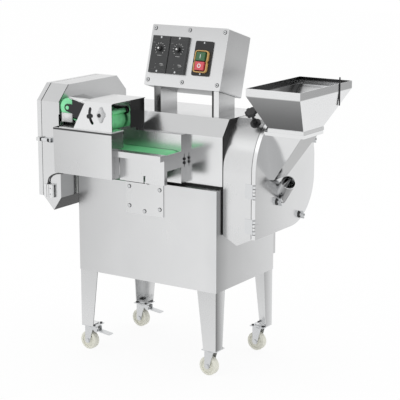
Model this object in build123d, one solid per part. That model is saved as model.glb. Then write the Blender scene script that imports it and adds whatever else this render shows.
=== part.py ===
"""Double-headed vegetable cutting machine on a wheeled cabinet.

The left head is a leaf knife behind an octagonal cover, fed by a green belt
with a press belt above it. The right head is a slicing disc in a round drum
whose door carries the hopper. Both heads are driven by belts from two motors
in the cabinet, and a tilted box on top holds the controls.

Working frame: X along the machine with the leaf knife at -X, Y to the back,
Z up, and the cabinet's centre on the floor at X = Y = 0. The exported parts
are moved so that the middle of the whole machine on the floor is the origin.
"""
from build123d import *
import math
import os

# Fits and stock
SHEET = 2.0
PLATE = 3.0
RUN = 0.05
GAP = 0.3
LOOSE = 1.0

# Cabinet
CAB_W = 620.0
CAB_D = 410.0
CAB_Z0 = 325.0
CAB_Z1 = 702.0
BEND_R = 4.0
REAR_WINDOW_W = 520.0
REAR_WINDOW_Z0 = 400.0
REAR_WINDOW_Z1 = 640.0
REAR_COVER_MARGIN = 20.0
REAR_COVER_DEPTH = 32.0

# Legs and casters
LEG_INSET = 3.0
LEG_TOP_X = 80.0
LEG_TOP_Y = 63.0
LEG_FOOT_X = 54.0
LEG_FOOT_Y = 46.0
LEG_FOOT_Z = 103.0
LEG_PAD = 46.0
CASTER_PLATE = 62.0
CASTER_BOLT_PITCH = 44.0
BOLT_HEAD_R = 5.0
BOLT_HEAD_H = 4.0
SCREW_R = 6.2
WHEEL_R = 36.0
WHEEL_W = 26.0
WHEEL_BORE_R = 6.0
TRAIL = 16.0
FORK_T = 2.5
FORK_SIDE_GAP = 1.5
FORK_PLATE_R = 22.0
SWIVEL_R = 8.0
SWIVEL_H = 5.0
FORK_EAR_R = 11.0
PEDAL_REACH = 62.0
PEDAL_W = 26.0
PEDAL_T = 2.5
PEDAL_PIVOT_X = 24.0
PEDAL_PIVOT_DROP = 19.0
PEDAL_SWING = 12.0

# Upper housing and gaskets
HOUSE_OVER_LEFT = 8.0
HOUSE_OVER_RIGHT = 2.0
HOUSE_Y0 = -168.0
HOUSE_Y1 = 165.0
HOUSE_SHOULDER_Z = 890.0
HOUSE_TOP_Z = 950.0
HOUSE_SLOPE = 46.0
GASKET_T = 4.0
BASE_GASKET_T = 10.0
GASKET_INSET = 6.0

# Drum of the disc head
DRUM_W = 116.0
DRUM_Y0 = -168.0
DRUM_Z0 = 535.0
DRUM_R = 214.5
DRUM_HEEL_R = 170.0
DRUM_V_DROP = 30.0
DRUM_TOP_Z = 950.0
DOOR_RIM = 17.0
DOOR_SEAM = 2.0

# Slicing disc
DISC_Y = 46.5
DISC_Z = 767.0
DISC_R = 176.0
DISC_T = 5.0
DISC_SETBACK = 12.0
SHAFT_R = 12.5
DISC_HUB_R = 32.0
DISC_HUB_L = 16.0
PULLEY_R = 50.0
PULLEY_W = 30.0
DISC_PULLEY_INSET = 72.0
BELT_W = 14.0
BELT_T = 4.0
BLOCK_W = 18.0
BLOCK_R = 30.0
BLOCK_FOOT = 34.0
BLOCK_GAP = 4.0
SHAFT_END = 8.0
BLADE_L = 115.0
BLADE_GAP = 3.0

# Leaf knife head
RING_W = 84.0
RING_Y0 = -296.0
RING_Y1 = 122.0
RING_Z0 = 620.0
RING_Z1 = 1040.0
RING_CHAMFER = 60.0
RING_V_SETBACK = 48.0
RING_V_DROP = 51.0
LID_RIM = 19.0
LID_SEAM = 2.0
KNIFE_Y = -87.0
KNIFE_Z = 830.0
KNIFE_R = 190.0
KNIFE_ROOT_R = 34.0
KNIFE_T = 3.0
KNIFE_BLADE_W = 44.0
KNIFE_SETBACK = 52.0
KNIFE_PULLEY_INSET = 46.0

# Motors
MOTOR_R = 62.0
MOTOR_L = 190.0
MOTOR_Z = 445.0
MOTOR_PULLEY_R = 34.0
MOTOR_SHAFT_R = 9.0
MOTOR_GAP = 17.0
MOTOR_FOOT_Y = 55.0

# Feed conveyor
BELT_TOP_Z = 833.0
FEED_ROLLER_R = 21.7
FEED_BELT_T = 3.0
FEED_Y0 = -298.0
FEED_Y1 = -206.0
FEED_DRIVE_INSET = 30.0
FEED_TAIL_X = 128.0
FEED_SHAFT_R = 8.0
RAIL_Y0 = -306.0
RAIL_Y1 = -300.0
TRAY_Y0 = -335.0
TRAY_X0 = -37.0
TRAY_X1 = 160.0
TRAY_SKIRT = 21.0
BASE_Y = -310.0
BASE_X0 = -12.0
BASE_X1 = 159.5
BASE_Z0 = 724.0
BASE_FLANGE = 18.0
BASE_PAD_T = 3.0
BASE_NOTCH = 26.0
APRON_Z0 = 773.0
SIDE_BOX_Y0 = -355.0
SIDE_BOX_INSET = 17.0
SIDE_BOX_X1 = -37.0
SIDE_BOX_Z0 = 730.0
SIDE_BOX_Z1 = 899.0
SIDE_BOX_SLANT = 3.0
SIDE_LID_T = 4.0
SIDE_LID_LIP = 2.0
SIDE_LID_SETBACK = 31.0
SIDE_EAR_W = 29.0
SIDE_EAR_Y1 = -284.0
SIDE_EAR_DROP = 61.0
BACK_BOX_Y0 = -203.0
BACK_BOX_Z0 = 714.0
BACK_BOX_Z1 = 891.0

# Conveyor bracket on the cabinet
BRACKET_HALF = 84.0
BRACKET_Z0 = 579.0
BRACKET_SCREW_X = 68.0
BRACKET_SCREW_TOP = 679.0
BRACKET_SCREW_LOW = 606.0
BRACKET_SCREW_MID = 592.0
STUD_R = 4.0

# Press head over the belt
PRESS_PIVOT_X = -84.0
PRESS_PIVOT_Z = 961.0
PRESS_ROLLER_R = 32.0
PRESS_BELT_T = 3.0
PRESS_FRONT_X = -113.0
PRESS_FRONT_Z = 927.0
PRESS_REAR_INSET = 48.0
PRESS_REAR_Z = 966.0
PRESS_Y0 = -303.0
PRESS_Y1 = -214.0
PRESS_ARM_T = 3.0
PRESS_ARM_R = 14.0
PRESS_SLEEVE_R = 9.0
PRESS_PLATE_INSET = 70.0
PRESS_BLOCK_T = 5.5
PRESS_BLOCK_W = 47.0
PRESS_BLOCK_Z0 = 914.0
PRESS_BLOCK_H = 32.0
PRESS_SHAFT_R = 7.0
CHEEK_Y0 = -352.0
PRESS_SHAFT_STUB = 14.0
CHEEK_RISE = 100.0
CHEEK_FOOT_X = -210.0
CHEEK_HEAD_X = -155.0
CHEEK_X1 = -37.0
REAR_CHEEK_Y = -206.0
REAR_CHEEK_LOW_Z = 973.0
REAR_CHEEK_LOW_INSET = 30.0
REAR_CHEEK_FLANGE = 34.0
COVER_X0 = -175.0
COVER_X1 = -33.0
COVER_Y1 = -152.0
SLOT_W = 12.0
SLOT_SPREAD = 30.0
STUD_X = -135.0
STUD_Z = 953.0
PRESS_SWING = 12.0

# Control box
TILT = 16.34
CTRL_X0 = -57.0
CTRL_W = 328.0
CTRL_H = 226.0
CTRL_D = 154.0
CTRL_Y = -125.0
CTRL_Z = 1046.5
CTRL_MARGIN = 14.0
UNIT_U0 = 14.0
UNIT_V0 = 47.0
UNIT_W = 77.0
UNIT_H = 137.0
UNIT_GROOVE = 3.0
UNIT_T = 9.0
DIAL_V = 136.0
DIAL_R = 10.0
DIAL_H = 12.0
DIAL_SHAFT_R = 3.0
DIAL_DEPTH = 14.0
SWITCH_U = 238.0
SWITCH_V = 112.0
SWITCH_W = 76.0
SWITCH_H = 126.0
SWITCH_T = 4.0
SWITCH_SCREW_EDGE = 6.5
BEZEL_W = 56.0
BEZEL_H = 80.0
BEZEL_T = 10.0
BEZEL_WALL = 3.5
BEZEL_CORNER = 11.0
BUTTON_W = 37.0
BUTTON_H = 31.0
BUTTON_PITCH = 34.0
BUTTON_DROP = 12.0
BUTTON_PROUD = 6.0
BUTTON_REAR = 5.0
BUTTON_TRAVEL = 4.0
POST_X = (-5.0, 247.0)
POST_W = 29.0
POST_Y0 = -113.0
POST_Y1 = -6.0

# Door fittings, chute and hopper
HINGE_R = 5.0
HINGE_PIN_R = 2.5
HINGE_LEAF_W = 40.0
HINGE_LEAF_T = 2.0
DOOR_HINGE_SPANS = ((555.0, 609.0), (683.0, 735.0))
DOOR_STRAP_Y = 26.0
CHUTE_DEPTH = 159.0
CHUTE_Y0 = -112.0
CHUTE_Y1 = 30.0
CHUTE_Z1 = 917.0
CHUTE_BAND = 12.0
CHUTE_FLANGE = 6.0
CHUTE_TIP_Z = 735.0
CHUTE_TIP_Y0 = -60.0
CHUTE_TIP_Y1 = 32.0
CHUTE_TIP_D = 12.0
CHUTE_WINDOW_EDGE = 8.0
CHUTE_WINDOW_SILL = 14.0
CHUTE_WINDOW_TOP = 20.0
HOPPER_SETBACK = 13.0
HOPPER_Y0 = -110.0
HOPPER_Y1 = 38.0
HOPPER_BAND = 12.0
RIM_OVER_LEFT = 67.0
RIM_OVER_RIGHT = 6.0
RIM_Y0 = -149.0
RIM_Y1 = 235.0
RIM_Z0 = 1043.0
RIM_Z1 = 1070.0
TUBE_R = 27.0
TUBE_AXIS = (0.60, -0.47, 0.65)
TUBE_Y = 20.0
TUBE_Z = 672.0
TUBE_L = 80.0
ROD_R = 2.0
ROD_Y = 138.0
ROD_Z0 = 991.0
ROD_Z1 = 1093.0
KNOB_1_Y = -14.0
KNOB_1_Z = 647.0
KNOB_2_Y = 152.0
KNOB_2_Z = 568.0
KNOB_3_Y = 234.0
KNOB_3_Z = 841.0
KNOB_STUD_R = 4.0
KNOB_STUD_L = 14.0
KNOB_HUB_R = 7.0
KNOB_WASHER_R = 11.0
KNOB_H = 20.0
KNOB_WING = 14.5
KNOB_TURN = 105.0

# Hand knob on top of the drum
TOP_KNOB_SETBACK = 35.0
TOP_KNOB_Y = -83.0
TOP_KNOB_BASE_R = 19.0
TOP_KNOB_BASE_H = 4.0
TOP_KNOB_STEM_R = 5.0
TOP_KNOB_COLLAR_R = 9.0
TOP_KNOB_COLLAR_L = 13.0
TOP_KNOB_STEM_L = 43.0
TOP_KNOB_HEAD_R = 21.0
TOP_KNOB_HEAD_H = 14.0

# Lid fittings
LID_HINGE_SPANS = ((690.0, 742.0), (900.0, 952.0))
LATCH_Z = 836.0
LATCH_L = 41.5
LATCH_TIP_INSET = 1.5
LATCH_R = 6.5
LID_SWITCH_INSET = 14.0
LID_SWITCH_W = 40.0
LID_SWITCH_Z0 = 617.5
LID_SWITCH_H = 50.0
LID_SWITCH_D = 14.0
CABLE_R = 2.5
CABLE_INSET = 14.0
CABLE_RISE = 46.0
CABLE_RUN = 70.0

# Values that follow from those above
CAB_X = CAB_W / 2
CAB_Y = CAB_D / 2
CASTER_X = CAB_X - LEG_INSET - CASTER_PLATE / 2
CASTER_Y = CAB_Y - LEG_INSET - CASTER_PLATE / 2
WHEEL_Z = WHEEL_R
FORK_TOP_Z = LEG_FOOT_Z - PLATE

HOUSE_X0 = -CAB_X - HOUSE_OVER_LEFT
HOUSE_X1 = CAB_X + HOUSE_OVER_RIGHT
HOUSE_Z0 = CAB_Z1 + BASE_GASKET_T

DRUM_X0 = HOUSE_X1 + GASKET_T
DRUM_X1 = DRUM_X0 + DRUM_W
DRUM_Y1 = DRUM_Y0 + 2 * DRUM_R
DRUM_YC = DRUM_Y0 + DRUM_R
DOOR_X0 = DRUM_X1 + DOOR_SEAM
DOOR_X1 = DRUM_X1 + DOOR_RIM
DISC_BACK_X = DRUM_X1 - DISC_SETBACK
DISC_FRONT_X = DISC_BACK_X + DISC_T
DISC_PULLEY_X = HOUSE_X1 - DISC_PULLEY_INSET
TOP_KNOB_X = DRUM_X1 - TOP_KNOB_SETBACK
DOOR_HINGE_X = DOOR_X1 - HINGE_LEAF_T
HINGE_AXIS_Y = DRUM_Y0 - HINGE_R - GAP
CHUTE_X1 = DOOR_X1 + CHUTE_DEPTH
HOPPER_X0 = DOOR_X1 + HOPPER_SETBACK
HOPPER_X1 = CHUTE_X1 - SHEET
HOPPER_Z0 = CHUTE_Z1
RIM_X0 = HOPPER_X0 - RIM_OVER_LEFT
RIM_X1 = HOPPER_X1 + RIM_OVER_RIGHT
ROD_X = RIM_X1 + ROD_R - LOOSE
KNOB_SPOTS = ((KNOB_1_Y, KNOB_1_Z), (KNOB_2_Y, KNOB_2_Z), (KNOB_3_Y, KNOB_3_Z))

RING_X1 = HOUSE_X0 - SHEET
RING_X0 = RING_X1 - RING_W
RING_V_X = RING_X0 + RING_V_SETBACK
LID_X1 = RING_X0 - LID_SEAM
LID_X0 = LID_X1 - LID_RIM
LID_HINGE_Y = RING_Y1 + HINGE_R + GAP
KNIFE_X = RING_X0 + KNIFE_SETBACK
KNIFE_PULLEY_X = HOUSE_X0 + KNIFE_PULLEY_INSET
LATCH_TIP_X = RING_X0 + LATCH_TIP_INSET
LATCH_PIVOT_X = LATCH_TIP_X + LATCH_L
LATCH_Y = RING_Y0 - LATCH_R - 2 * LOOSE
LID_SWITCH_X0 = RING_X0 + LID_SWITCH_INSET

KNIFE_MOTOR_X = KNIFE_PULLEY_X + PULLEY_W + MOTOR_GAP
DISC_MOTOR_X = DISC_PULLEY_X - MOTOR_GAP - MOTOR_L

FEED_DRIVE_X = RING_X1 + FEED_DRIVE_INSET
FEED_AXIS_Z = BELT_TOP_Z - FEED_BELT_T - GAP - FEED_ROLLER_R
SIDE_BOX_X0 = RING_X1 + SIDE_BOX_INSET
SIDE_LID_Z1 = SIDE_BOX_Z1 + SIDE_LID_T
PRESS_REAR_X = RING_X1 + PRESS_REAR_INSET
PRESS_PLATE_X = RING_X1 + PRESS_PLATE_INSET
REAR_CHEEK_LOW_X = RING_X1 + REAR_CHEEK_LOW_INSET
CHEEK_TOP_Z = SIDE_LID_Z1 + CHEEK_RISE

BUTTON_MID_V = SWITCH_V - BUTTON_DROP
BUTTON_V = (BUTTON_MID_V + BUTTON_PITCH / 2, BUTTON_MID_V - BUTTON_PITCH / 2)

SHIFT_X = -(LID_X0 + ROD_X + ROD_R) / 2
SHIFT_Y = -(CHEEK_Y0 - PRESS_SHAFT_STUB + DRUM_Y1) / 2

CORNERS = {
    "front_left": (-1, -1),
    "front_right": (1, -1),
    "rear_left": (-1, 1),
    "rear_right": (1, 1),
}
BRAKED = ("front_left", "rear_left")

parts = {}


def slab(x0, x1, y0, y1, z0, z1):
    """A box between two corners."""
    centre = Pos((x0 + x1) / 2, (y0 + y1) / 2, (z0 + z1) / 2)
    return centre * Box(x1 - x0, y1 - y0, z1 - z0)


def rod(start, axis, radius, length):
    """A cylinder that starts at a point and runs along +X, +Y or +Z."""
    turn = {"x": Rot(0, 90, 0), "y": Rot(-90, 0, 0), "z": Rot(0, 0, 0)}[axis]
    solid = Cylinder(radius, length, align=(Align.CENTER, Align.CENTER, Align.MIN))
    return Pos(*start) * turn * solid


def prism_x(points, x0, x1):
    """A polygon of (y, z) points drawn out from x0 to x1."""
    face = make_face(Polyline(*points, close=True))
    return extrude(Plane.YZ.offset(x0) * face, amount=x1 - x0)


def prism_y(points, y0, y1):
    """A polygon of (x, z) points drawn out from y0 to y1."""
    face = make_face(Polyline(*points, close=True))
    return extrude(Plane.XZ.offset(-y1) * face, amount=y1 - y0)


def inset_box(x0, x1, y0, y1, z0, z1, t):
    """The inside of a sheet box, t smaller on each side."""
    return slab(x0 + t, x1 - t, y0 + t, y1 - t, z0 + t, z1 - t)


def frame_band(x0, x1, y0, y1, z0, z1, t):
    """Four upright walls without a top or a bottom."""
    return slab(x0, x1, y0, y1, z0, z1) - slab(x0 + t, x1 - t, y0 + t, y1 - t, z0 - t, z1 + t)


def taper(low, z0, high, z1):
    """A solid between two level rectangles given as (x0, x1, y0, y1)."""
    faces = []
    for (x0, x1, y0, y1), z in ((low, z0), (high, z1)):
        ring = Polyline((x0, y0, z), (x1, y0, z), (x1, y1, z), (x0, y1, z), close=True)
        faces.append(make_face(ring))
    return loft(faces)


def belt_outline(first, r1, second, r2):
    """The outline of a belt run tight round two circles, as a flat face."""
    (x1, y1), (x2, y2) = first, second
    span = math.hypot(x2 - x1, y2 - y1)
    along = math.atan2(y2 - y1, x2 - x1)
    lean = math.acos((r1 - r2) / span)
    corners = []
    for (x, y), r, side in ((first, r1, 1), (second, r2, 1), (second, r2, -1), (first, r1, -1)):
        a = along + side * lean
        corners.append((x + r * math.cos(a), y + r * math.sin(a)))
    body = make_face(Polyline(*corners, close=True))
    return body + Pos(x1, y1) * Circle(r1) + Pos(x2, y2) * Circle(r2)


def fuse(*solids):
    """One solid from several that touch or overlap."""
    whole = solids[0]
    for solid in solids[1:]:
        whole = whole + solid
    return whole


def group(solids):
    """Several separate solids under one name."""
    return Compound(children=[s if isinstance(s, Solid) else s.solids()[0] for s in solids])


def screw_head(x, y, z, axis, direction):
    """A low round head that lies on a face; direction is its way out."""
    height = BOLT_HEAD_H * 0.6
    start = {"x": (x if direction > 0 else x - height, y, z),
             "y": (x, y if direction > 0 else y - height, z)}[axis]
    return rod(start, axis, SCREW_R, height)


def cabinet():
    """The folded lower cabinet with a service window and belt slots."""
    box = slab(-CAB_X, CAB_X, -CAB_Y, CAB_Y, CAB_Z0, CAB_Z1)
    box = fillet(box.edges().filter_by(Axis.Z), BEND_R)
    box -= inset_box(-CAB_X, CAB_X, -CAB_Y, CAB_Y, CAB_Z0, CAB_Z1, SHEET)
    window = REAR_WINDOW_W / 2
    box -= slab(-window, window, CAB_Y - 2 * SHEET, CAB_Y + SHEET, REAR_WINDOW_Z0, REAR_WINDOW_Z1)
    for pulley_x, y in ((KNIFE_PULLEY_X, KNIFE_Y), (DISC_PULLEY_X, DISC_Y)):
        x0, x1 = pulley_x - LOOSE, pulley_x + PULLEY_W + LOOSE
        half = PULLEY_R + 10 * LOOSE
        box -= slab(x0, x1, y - half, y + half, CAB_Z1 - 2 * SHEET, CAB_Z1 + SHEET)
    parts["cabinet_shell"] = box

    x1 = CAB_X - REAR_COVER_MARGIN / 2
    z0, z1 = REAR_WINDOW_Z0 - REAR_COVER_MARGIN, REAR_WINDOW_Z1 + REAR_COVER_MARGIN
    y0, y1 = CAB_Y, CAB_Y + REAR_COVER_DEPTH
    pan = slab(-x1, x1, y0, y1, z0, z1)
    pan = fillet(pan.edges().group_by(Axis.Y)[-1], BEND_R)
    pan -= slab(-x1 + SHEET, x1 - SHEET, y0 - SHEET, y1 - SHEET, z0 + SHEET, z1 - SHEET)
    parts["rear_cover"] = pan


def legs():
    """Four tapered angle legs, each with a top pad and a foot pad."""
    solids = []
    for sx, sy in CORNERS.values():
        x, y = CAB_X - LEG_INSET, CAB_Y - LEG_INSET
        wide = ((x, CAB_Z0), (x - LEG_TOP_X, CAB_Z0), (x - LEG_FOOT_X, LEG_FOOT_Z), (x, LEG_FOOT_Z))
        deep = ((y, CAB_Z0), (y - LEG_TOP_Y, CAB_Z0), (y - LEG_FOOT_Y, LEG_FOOT_Z), (y, LEG_FOOT_Z))
        leg = prism_y(wide, y - PLATE, y) + prism_x(deep, x - PLATE, x)
        leg += slab(x - LEG_PAD, x, y - LEG_PAD, y, LEG_FOOT_Z, LEG_FOOT_Z + PLATE)
        leg += slab(x - LEG_TOP_Y, x, y - LEG_TOP_Y, y, CAB_Z0 - PLATE, CAB_Z0)
        if sx < 0:
            leg = mirror(leg, Plane.YZ)
        if sy < 0:
            leg = mirror(leg, Plane.XZ)
        solids.append(leg)
    parts["legs"] = group(solids)


def casters():
    """Swivel casters: fixed plates, forks that turn, wheels and brake pedals."""
    fixed = []
    half = CASTER_PLATE / 2
    pitch = CASTER_BOLT_PITCH / 2
    for name, (sx, sy) in CORNERS.items():
        cx, cy = sx * CASTER_X, sy * CASTER_Y
        top = FORK_TOP_Z
        plate = slab(cx - half, cx + half, cy - half, cy + half, top, top + PLATE)
        plate -= rod((cx, cy, top - PLATE), "z", SWIVEL_R + RUN, 3 * PLATE)
        fixed.append(plate)
        for ix in (-1, 1):
            for iy in (-1, 1):
                bx, by = cx + ix * pitch, cy + iy * pitch
                on_pad = abs(bx) > CASTER_X and abs(by) > CASTER_Y
                seat = LEG_FOOT_Z + PLATE if on_pad else LEG_FOOT_Z
                fixed.append(rod((bx, by, seat), "z", BOLT_HEAD_R, BOLT_HEAD_H))

        wx = cx - TRAIL
        inner_half = WHEEL_W / 2 + FORK_SIDE_GAP
        plate_z = top - SWIVEL_H
        fork = rod((cx, cy, plate_z - FORK_T), "z", FORK_PLATE_R, FORK_T)
        fork += slab(wx - FORK_EAR_R, cx + FORK_EAR_R, cy - inner_half - FORK_T,
                     cy + inner_half + FORK_T, plate_z - FORK_T, plate_z)
        for side in (-1, 1):
            y0 = cy + side * (inner_half + FORK_T / 2) - FORK_T / 2
            ear = prism_y(((wx - FORK_EAR_R, WHEEL_Z), (wx + FORK_EAR_R, WHEEL_Z),
                           (cx + FORK_EAR_R, plate_z), (wx - FORK_EAR_R, plate_z)), y0, y0 + FORK_T)
            ear += rod((wx, y0, WHEEL_Z), "y", FORK_EAR_R, FORK_T)
            fork += ear
        fork += rod((cx, cy, plate_z), "z", SWIVEL_R, SWIVEL_H + PLATE)
        fork += rod((cx, cy, plate_z), "z", SWIVEL_R + 7, SWIVEL_H - GAP)
        axle_y = cy - inner_half - FORK_T - BOLT_HEAD_H
        axle = rod((wx, axle_y, WHEEL_Z), "y", WHEEL_BORE_R - RUN, 2 * (cy - axle_y))
        nuts = fuse(rod((wx, axle_y, WHEEL_Z), "y", BOLT_HEAD_R * 1.6, BOLT_HEAD_H), axle,
                    rod((wx, 2 * cy - axle_y - BOLT_HEAD_H, WHEEL_Z), "y", BOLT_HEAD_R * 1.6, BOLT_HEAD_H))
        parts["caster_fork_" + name] = fork + nuts

        wheel = rod((wx, cy - WHEEL_W / 2, WHEEL_Z), "y", WHEEL_R, WHEEL_W)
        wheel = fillet(wheel.edges(), 4 * LOOSE)
        for side in (-1, 1):
            y0 = cy + side * WHEEL_W / 2 - 3 * LOOSE
            dish = rod((wx, y0, WHEEL_Z), "y", WHEEL_R * 0.72, 6 * LOOSE)
            dish -= rod((wx, y0, WHEEL_Z), "y", WHEEL_R * 0.38, 6 * LOOSE)
            wheel -= dish
        wheel -= rod((wx, cy - WHEEL_W, WHEEL_Z), "y", WHEEL_BORE_R, 2 * WHEEL_W)
        parts["caster_wheel_" + name] = wheel

        if name in BRAKED:
            px = cx + PEDAL_PIVOT_X
            pz = top - PEDAL_PIVOT_DROP
            pedal = rod((px, cy - PEDAL_W / 2, pz), "y", 4 * LOOSE, PEDAL_W)
            tip_x = px + PEDAL_REACH
            pedal += prism_y(((px, pz - PEDAL_T), (px, pz + PEDAL_T), (tip_x, pz + PEDAL_T - 8),
                              (tip_x, pz - 8 - PEDAL_T / 2)), cy - PEDAL_W / 2, cy + PEDAL_W / 2)
            pedal -= rod((px, cy - PEDAL_W, pz), "y", 2 + RUN, 2 * PEDAL_W)
            parts["brake_pedal_" + name] = pedal
            fork = parts["caster_fork_" + name]
            for side in (-1, 1):
                y0 = cy + side * (PEDAL_W / 2 + LOOSE + FORK_T / 2) - FORK_T / 2
                ear = prism_y(((cx, plate_z), (px + 6, plate_z), (px + 6, pz - 6), (px - 4, pz - 6),
                               (cx, plate_z - FORK_T)), y0, y0 + FORK_T)
                fork = fork + ear
            fork += rod((px, cy - PEDAL_W / 2 - LOOSE - FORK_T, pz), "y", 2,
                        PEDAL_W + 2 * LOOSE + 2 * FORK_T)
            parts["caster_fork_" + name] = fork
    parts["caster_mounts"] = group(fixed)


def house_profile(inset=0.0, floor=None):
    """The housing's (y, z) outline: upright front, two shoulders, flat top."""
    z0 = HOUSE_Z0 if floor is None else floor
    y0, y1 = HOUSE_Y0 + inset, HOUSE_Y1 - inset
    shoulder = HOUSE_SHOULDER_Z - inset * 0.5
    top = HOUSE_TOP_Z - inset
    slope = HOUSE_SLOPE
    return ((y0, z0), (y0, shoulder), (y0 + slope, top), (y1 - slope, top), (y1, shoulder), (y1, z0))


def housing():
    """The long upper housing, its base gasket and the two end gaskets."""
    shell = prism_x(house_profile(), HOUSE_X0, HOUSE_X1)
    shell -= prism_x(house_profile(SHEET, HOUSE_Z0 - SHEET), HOUSE_X0 + SHEET, HOUSE_X1 - SHEET)
    for y, z, x in ((KNIFE_Y, KNIFE_Z, HOUSE_X0), (DISC_Y, DISC_Z, HOUSE_X1 - SHEET)):
        shell -= rod((x - SHEET, y, z), "x", SHAFT_R + LOOSE, 3 * SHEET)
    parts["upper_housing"] = shell

    base = frame_band(HOUSE_X0 + GASKET_INSET, HOUSE_X1 - GASKET_INSET, HOUSE_Y0 + GASKET_INSET,
                      HOUSE_Y1 - GASKET_INSET, CAB_Z1, HOUSE_Z0, 3 * GASKET_T)
    base = base & slab(-CAB_X, CAB_X, -CAB_Y, CAB_Y, CAB_Z1, HOUSE_Z0)
    right = prism_x(house_profile(1.5 * SHEET), HOUSE_X1, DRUM_X0)
    right -= rod((HOUSE_X1 - SHEET, DISC_Y, DISC_Z), "x", SHAFT_R + LOOSE, 4 * SHEET)
    apron = slab(CAB_X, DRUM_X0, DRUM_Y0 + GASKET_T, HOUSE_Y1 - GASKET_T, DRUM_Z0 + LOOSE, CAB_Z1)
    left = slab(RING_X1, -CAB_X, -CAB_Y + GASKET_T, RING_Y1 - GASKET_T, RING_Z0 + LOOSE, CAB_Z1)
    parts["gaskets"] = [base, right, apron, left]


def drum_face(inset=0.0, sill=0.0):
    """The drum's (y, z) outline: round shoulders, flat crown, heel at the back."""
    y0, y1 = DRUM_Y0 + inset, DRUM_Y1 - inset
    z0, top = DRUM_Z0 + sill, DRUM_TOP_Z - inset
    radius = DRUM_R - inset
    crown = math.asin((top - DISC_Z) / radius)
    edge_y, edge_z = radius * math.cos(crown), radius * math.sin(crown)
    mid_y, mid_z = radius * math.cos(crown / 2), radius * math.sin(crown / 2)
    front = ThreePointArc((y0, DISC_Z), (DRUM_YC - mid_y, DISC_Z + mid_z),
                          (DRUM_YC - edge_y, DISC_Z + edge_z))
    back = ThreePointArc((DRUM_YC + edge_y, DISC_Z + edge_z), (DRUM_YC + mid_y, DISC_Z + mid_z), (y1, DISC_Z))
    heel = DRUM_HEEL_R - inset
    heel_z = DRUM_Z0 + DRUM_HEEL_R
    heel_y = DRUM_Y1 - DRUM_HEEL_R
    end = math.asin(min(1.0, (heel_z - z0) / heel))
    foot_y = heel_y + heel * math.cos(end)
    middle = (heel_y + heel * math.cos(end / 2), heel_z - heel * math.sin(end / 2))
    outline = [
        Line((y0, z0), (y0, DISC_Z)),
        front,
        Line((DRUM_YC - edge_y, DISC_Z + edge_z), (DRUM_YC + edge_y, DISC_Z + edge_z)),
        back,
        Line((y1, DISC_Z), (y1, heel_z)),
        ThreePointArc((y1, heel_z), middle, (foot_y, z0)),
        Line((foot_y, z0), (y0, z0)),
    ]
    return make_face(outline)


def drum_block(x0, x1, inset=0.0, sill=0.0):
    """The drum's outline drawn out along X."""
    return extrude(Plane.YZ.offset(x0) * drum_face(inset, sill), amount=x1 - x0)


def knob_plane():
    """The plane that lies on the drum's crown where the hand knob stands."""
    lean = math.asin((TOP_KNOB_Y - DRUM_YC) / DRUM_R)
    foot = (TOP_KNOB_X, TOP_KNOB_Y, DISC_Z + DRUM_R * math.cos(lean))
    return Plane(origin=foot, x_dir=(1, 0, 0), z_dir=(0, math.sin(lean), math.cos(lean)))


def drum():
    """The drum shell with its back wall, pointed front apron and deflector."""
    shell = drum_block(DRUM_X0, DRUM_X1)
    shell -= drum_block(DRUM_X0 + SHEET, DRUM_X1 + SHEET, SHEET, SHEET)
    mouth_y1 = DRUM_Y1 - DRUM_HEEL_R
    shell -= slab(DRUM_X0 + SHEET, DRUM_X1 + SHEET, DRUM_Y0 + SHEET, mouth_y1 - SHEET,
                  DRUM_Z0 - SHEET, DRUM_Z0 + 2 * SHEET)
    shell -= rod((DRUM_X0 - SHEET, DISC_Y, DISC_Z), "x", SHAFT_R + LOOSE, 3 * SHEET)
    mid_x = (DRUM_X0 + DRUM_X1) / 2
    tip_z = DRUM_Z0 - DRUM_V_DROP
    vee = ((DRUM_X0, DRUM_Z0), (mid_x, tip_z), (DRUM_X1, DRUM_Z0))
    for y in (DRUM_Y0, mouth_y1 - SHEET):
        shell += prism_y(vee, y, y + SHEET)
    rise = 2 * SHEET
    slide = ((DRUM_X0, DRUM_Z0), (mid_x, tip_z), (mid_x, tip_z + rise), (DRUM_X0, DRUM_Z0 + rise))
    shell += prism_y(slide, DRUM_Y0, mouth_y1)
    stud = Cylinder(KNOB_STUD_R, SHEET + KNOB_STUD_L, align=(Align.CENTER, Align.CENTER, Align.MIN))
    shell += knob_plane().location * Pos(0, 0, -SHEET) * stud
    parts["drum_shell"] = shell


def hinge(spans, x, y, leaf_dir, leaf_face_y, strap_box):
    """Three-knuckle hinges: returns fixed leaves, pins and moving knuckles.

    leaf_dir is the X direction in which the fixed leaf lies on its face, and
    strap_box(z0, z1) gives the moving leaf's solid.
    """
    fixed = []
    moving = []
    for z0, z1 in spans:
        third = (z1 - z0) / 3
        x_far = x + leaf_dir * HINGE_LEAF_W
        y_far = leaf_face_y - HINGE_LEAF_T if y < leaf_face_y else leaf_face_y + HINGE_LEAF_T
        leaf = slab(min(x, x_far), max(x, x_far), min(leaf_face_y, y_far), max(leaf_face_y, y_far), z0, z1)
        leaf -= rod((x, y, z0 + third), "z", HINGE_R + GAP, third)
        cut = slab(x - HINGE_R - GAP, x + HINGE_R + GAP, y - HINGE_R - LOOSE, y + HINGE_R + LOOSE,
                   z0 + third, z0 + 2 * third)
        leaf -= cut
        for start in (z0, z0 + 2 * third):
            leaf += rod((x, y, start), "z", HINGE_R, third)
        leaf -= rod((x, y, z0), "z", HINGE_PIN_R, z1 - z0)
        fixed.append(leaf)
        fixed.append(rod((x, y, z0), "z", HINGE_PIN_R, z1 - z0))
        barrel = rod((x, y, z0 + third + GAP), "z", HINGE_R, third - 2 * GAP)
        barrel += strap_box(z0 + third + GAP, z0 + 2 * third - GAP)
        barrel -= rod((x, y, z0), "z", HINGE_PIN_R + RUN, z1 - z0)
        moving.append(barrel)
    return fixed, moving


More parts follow.
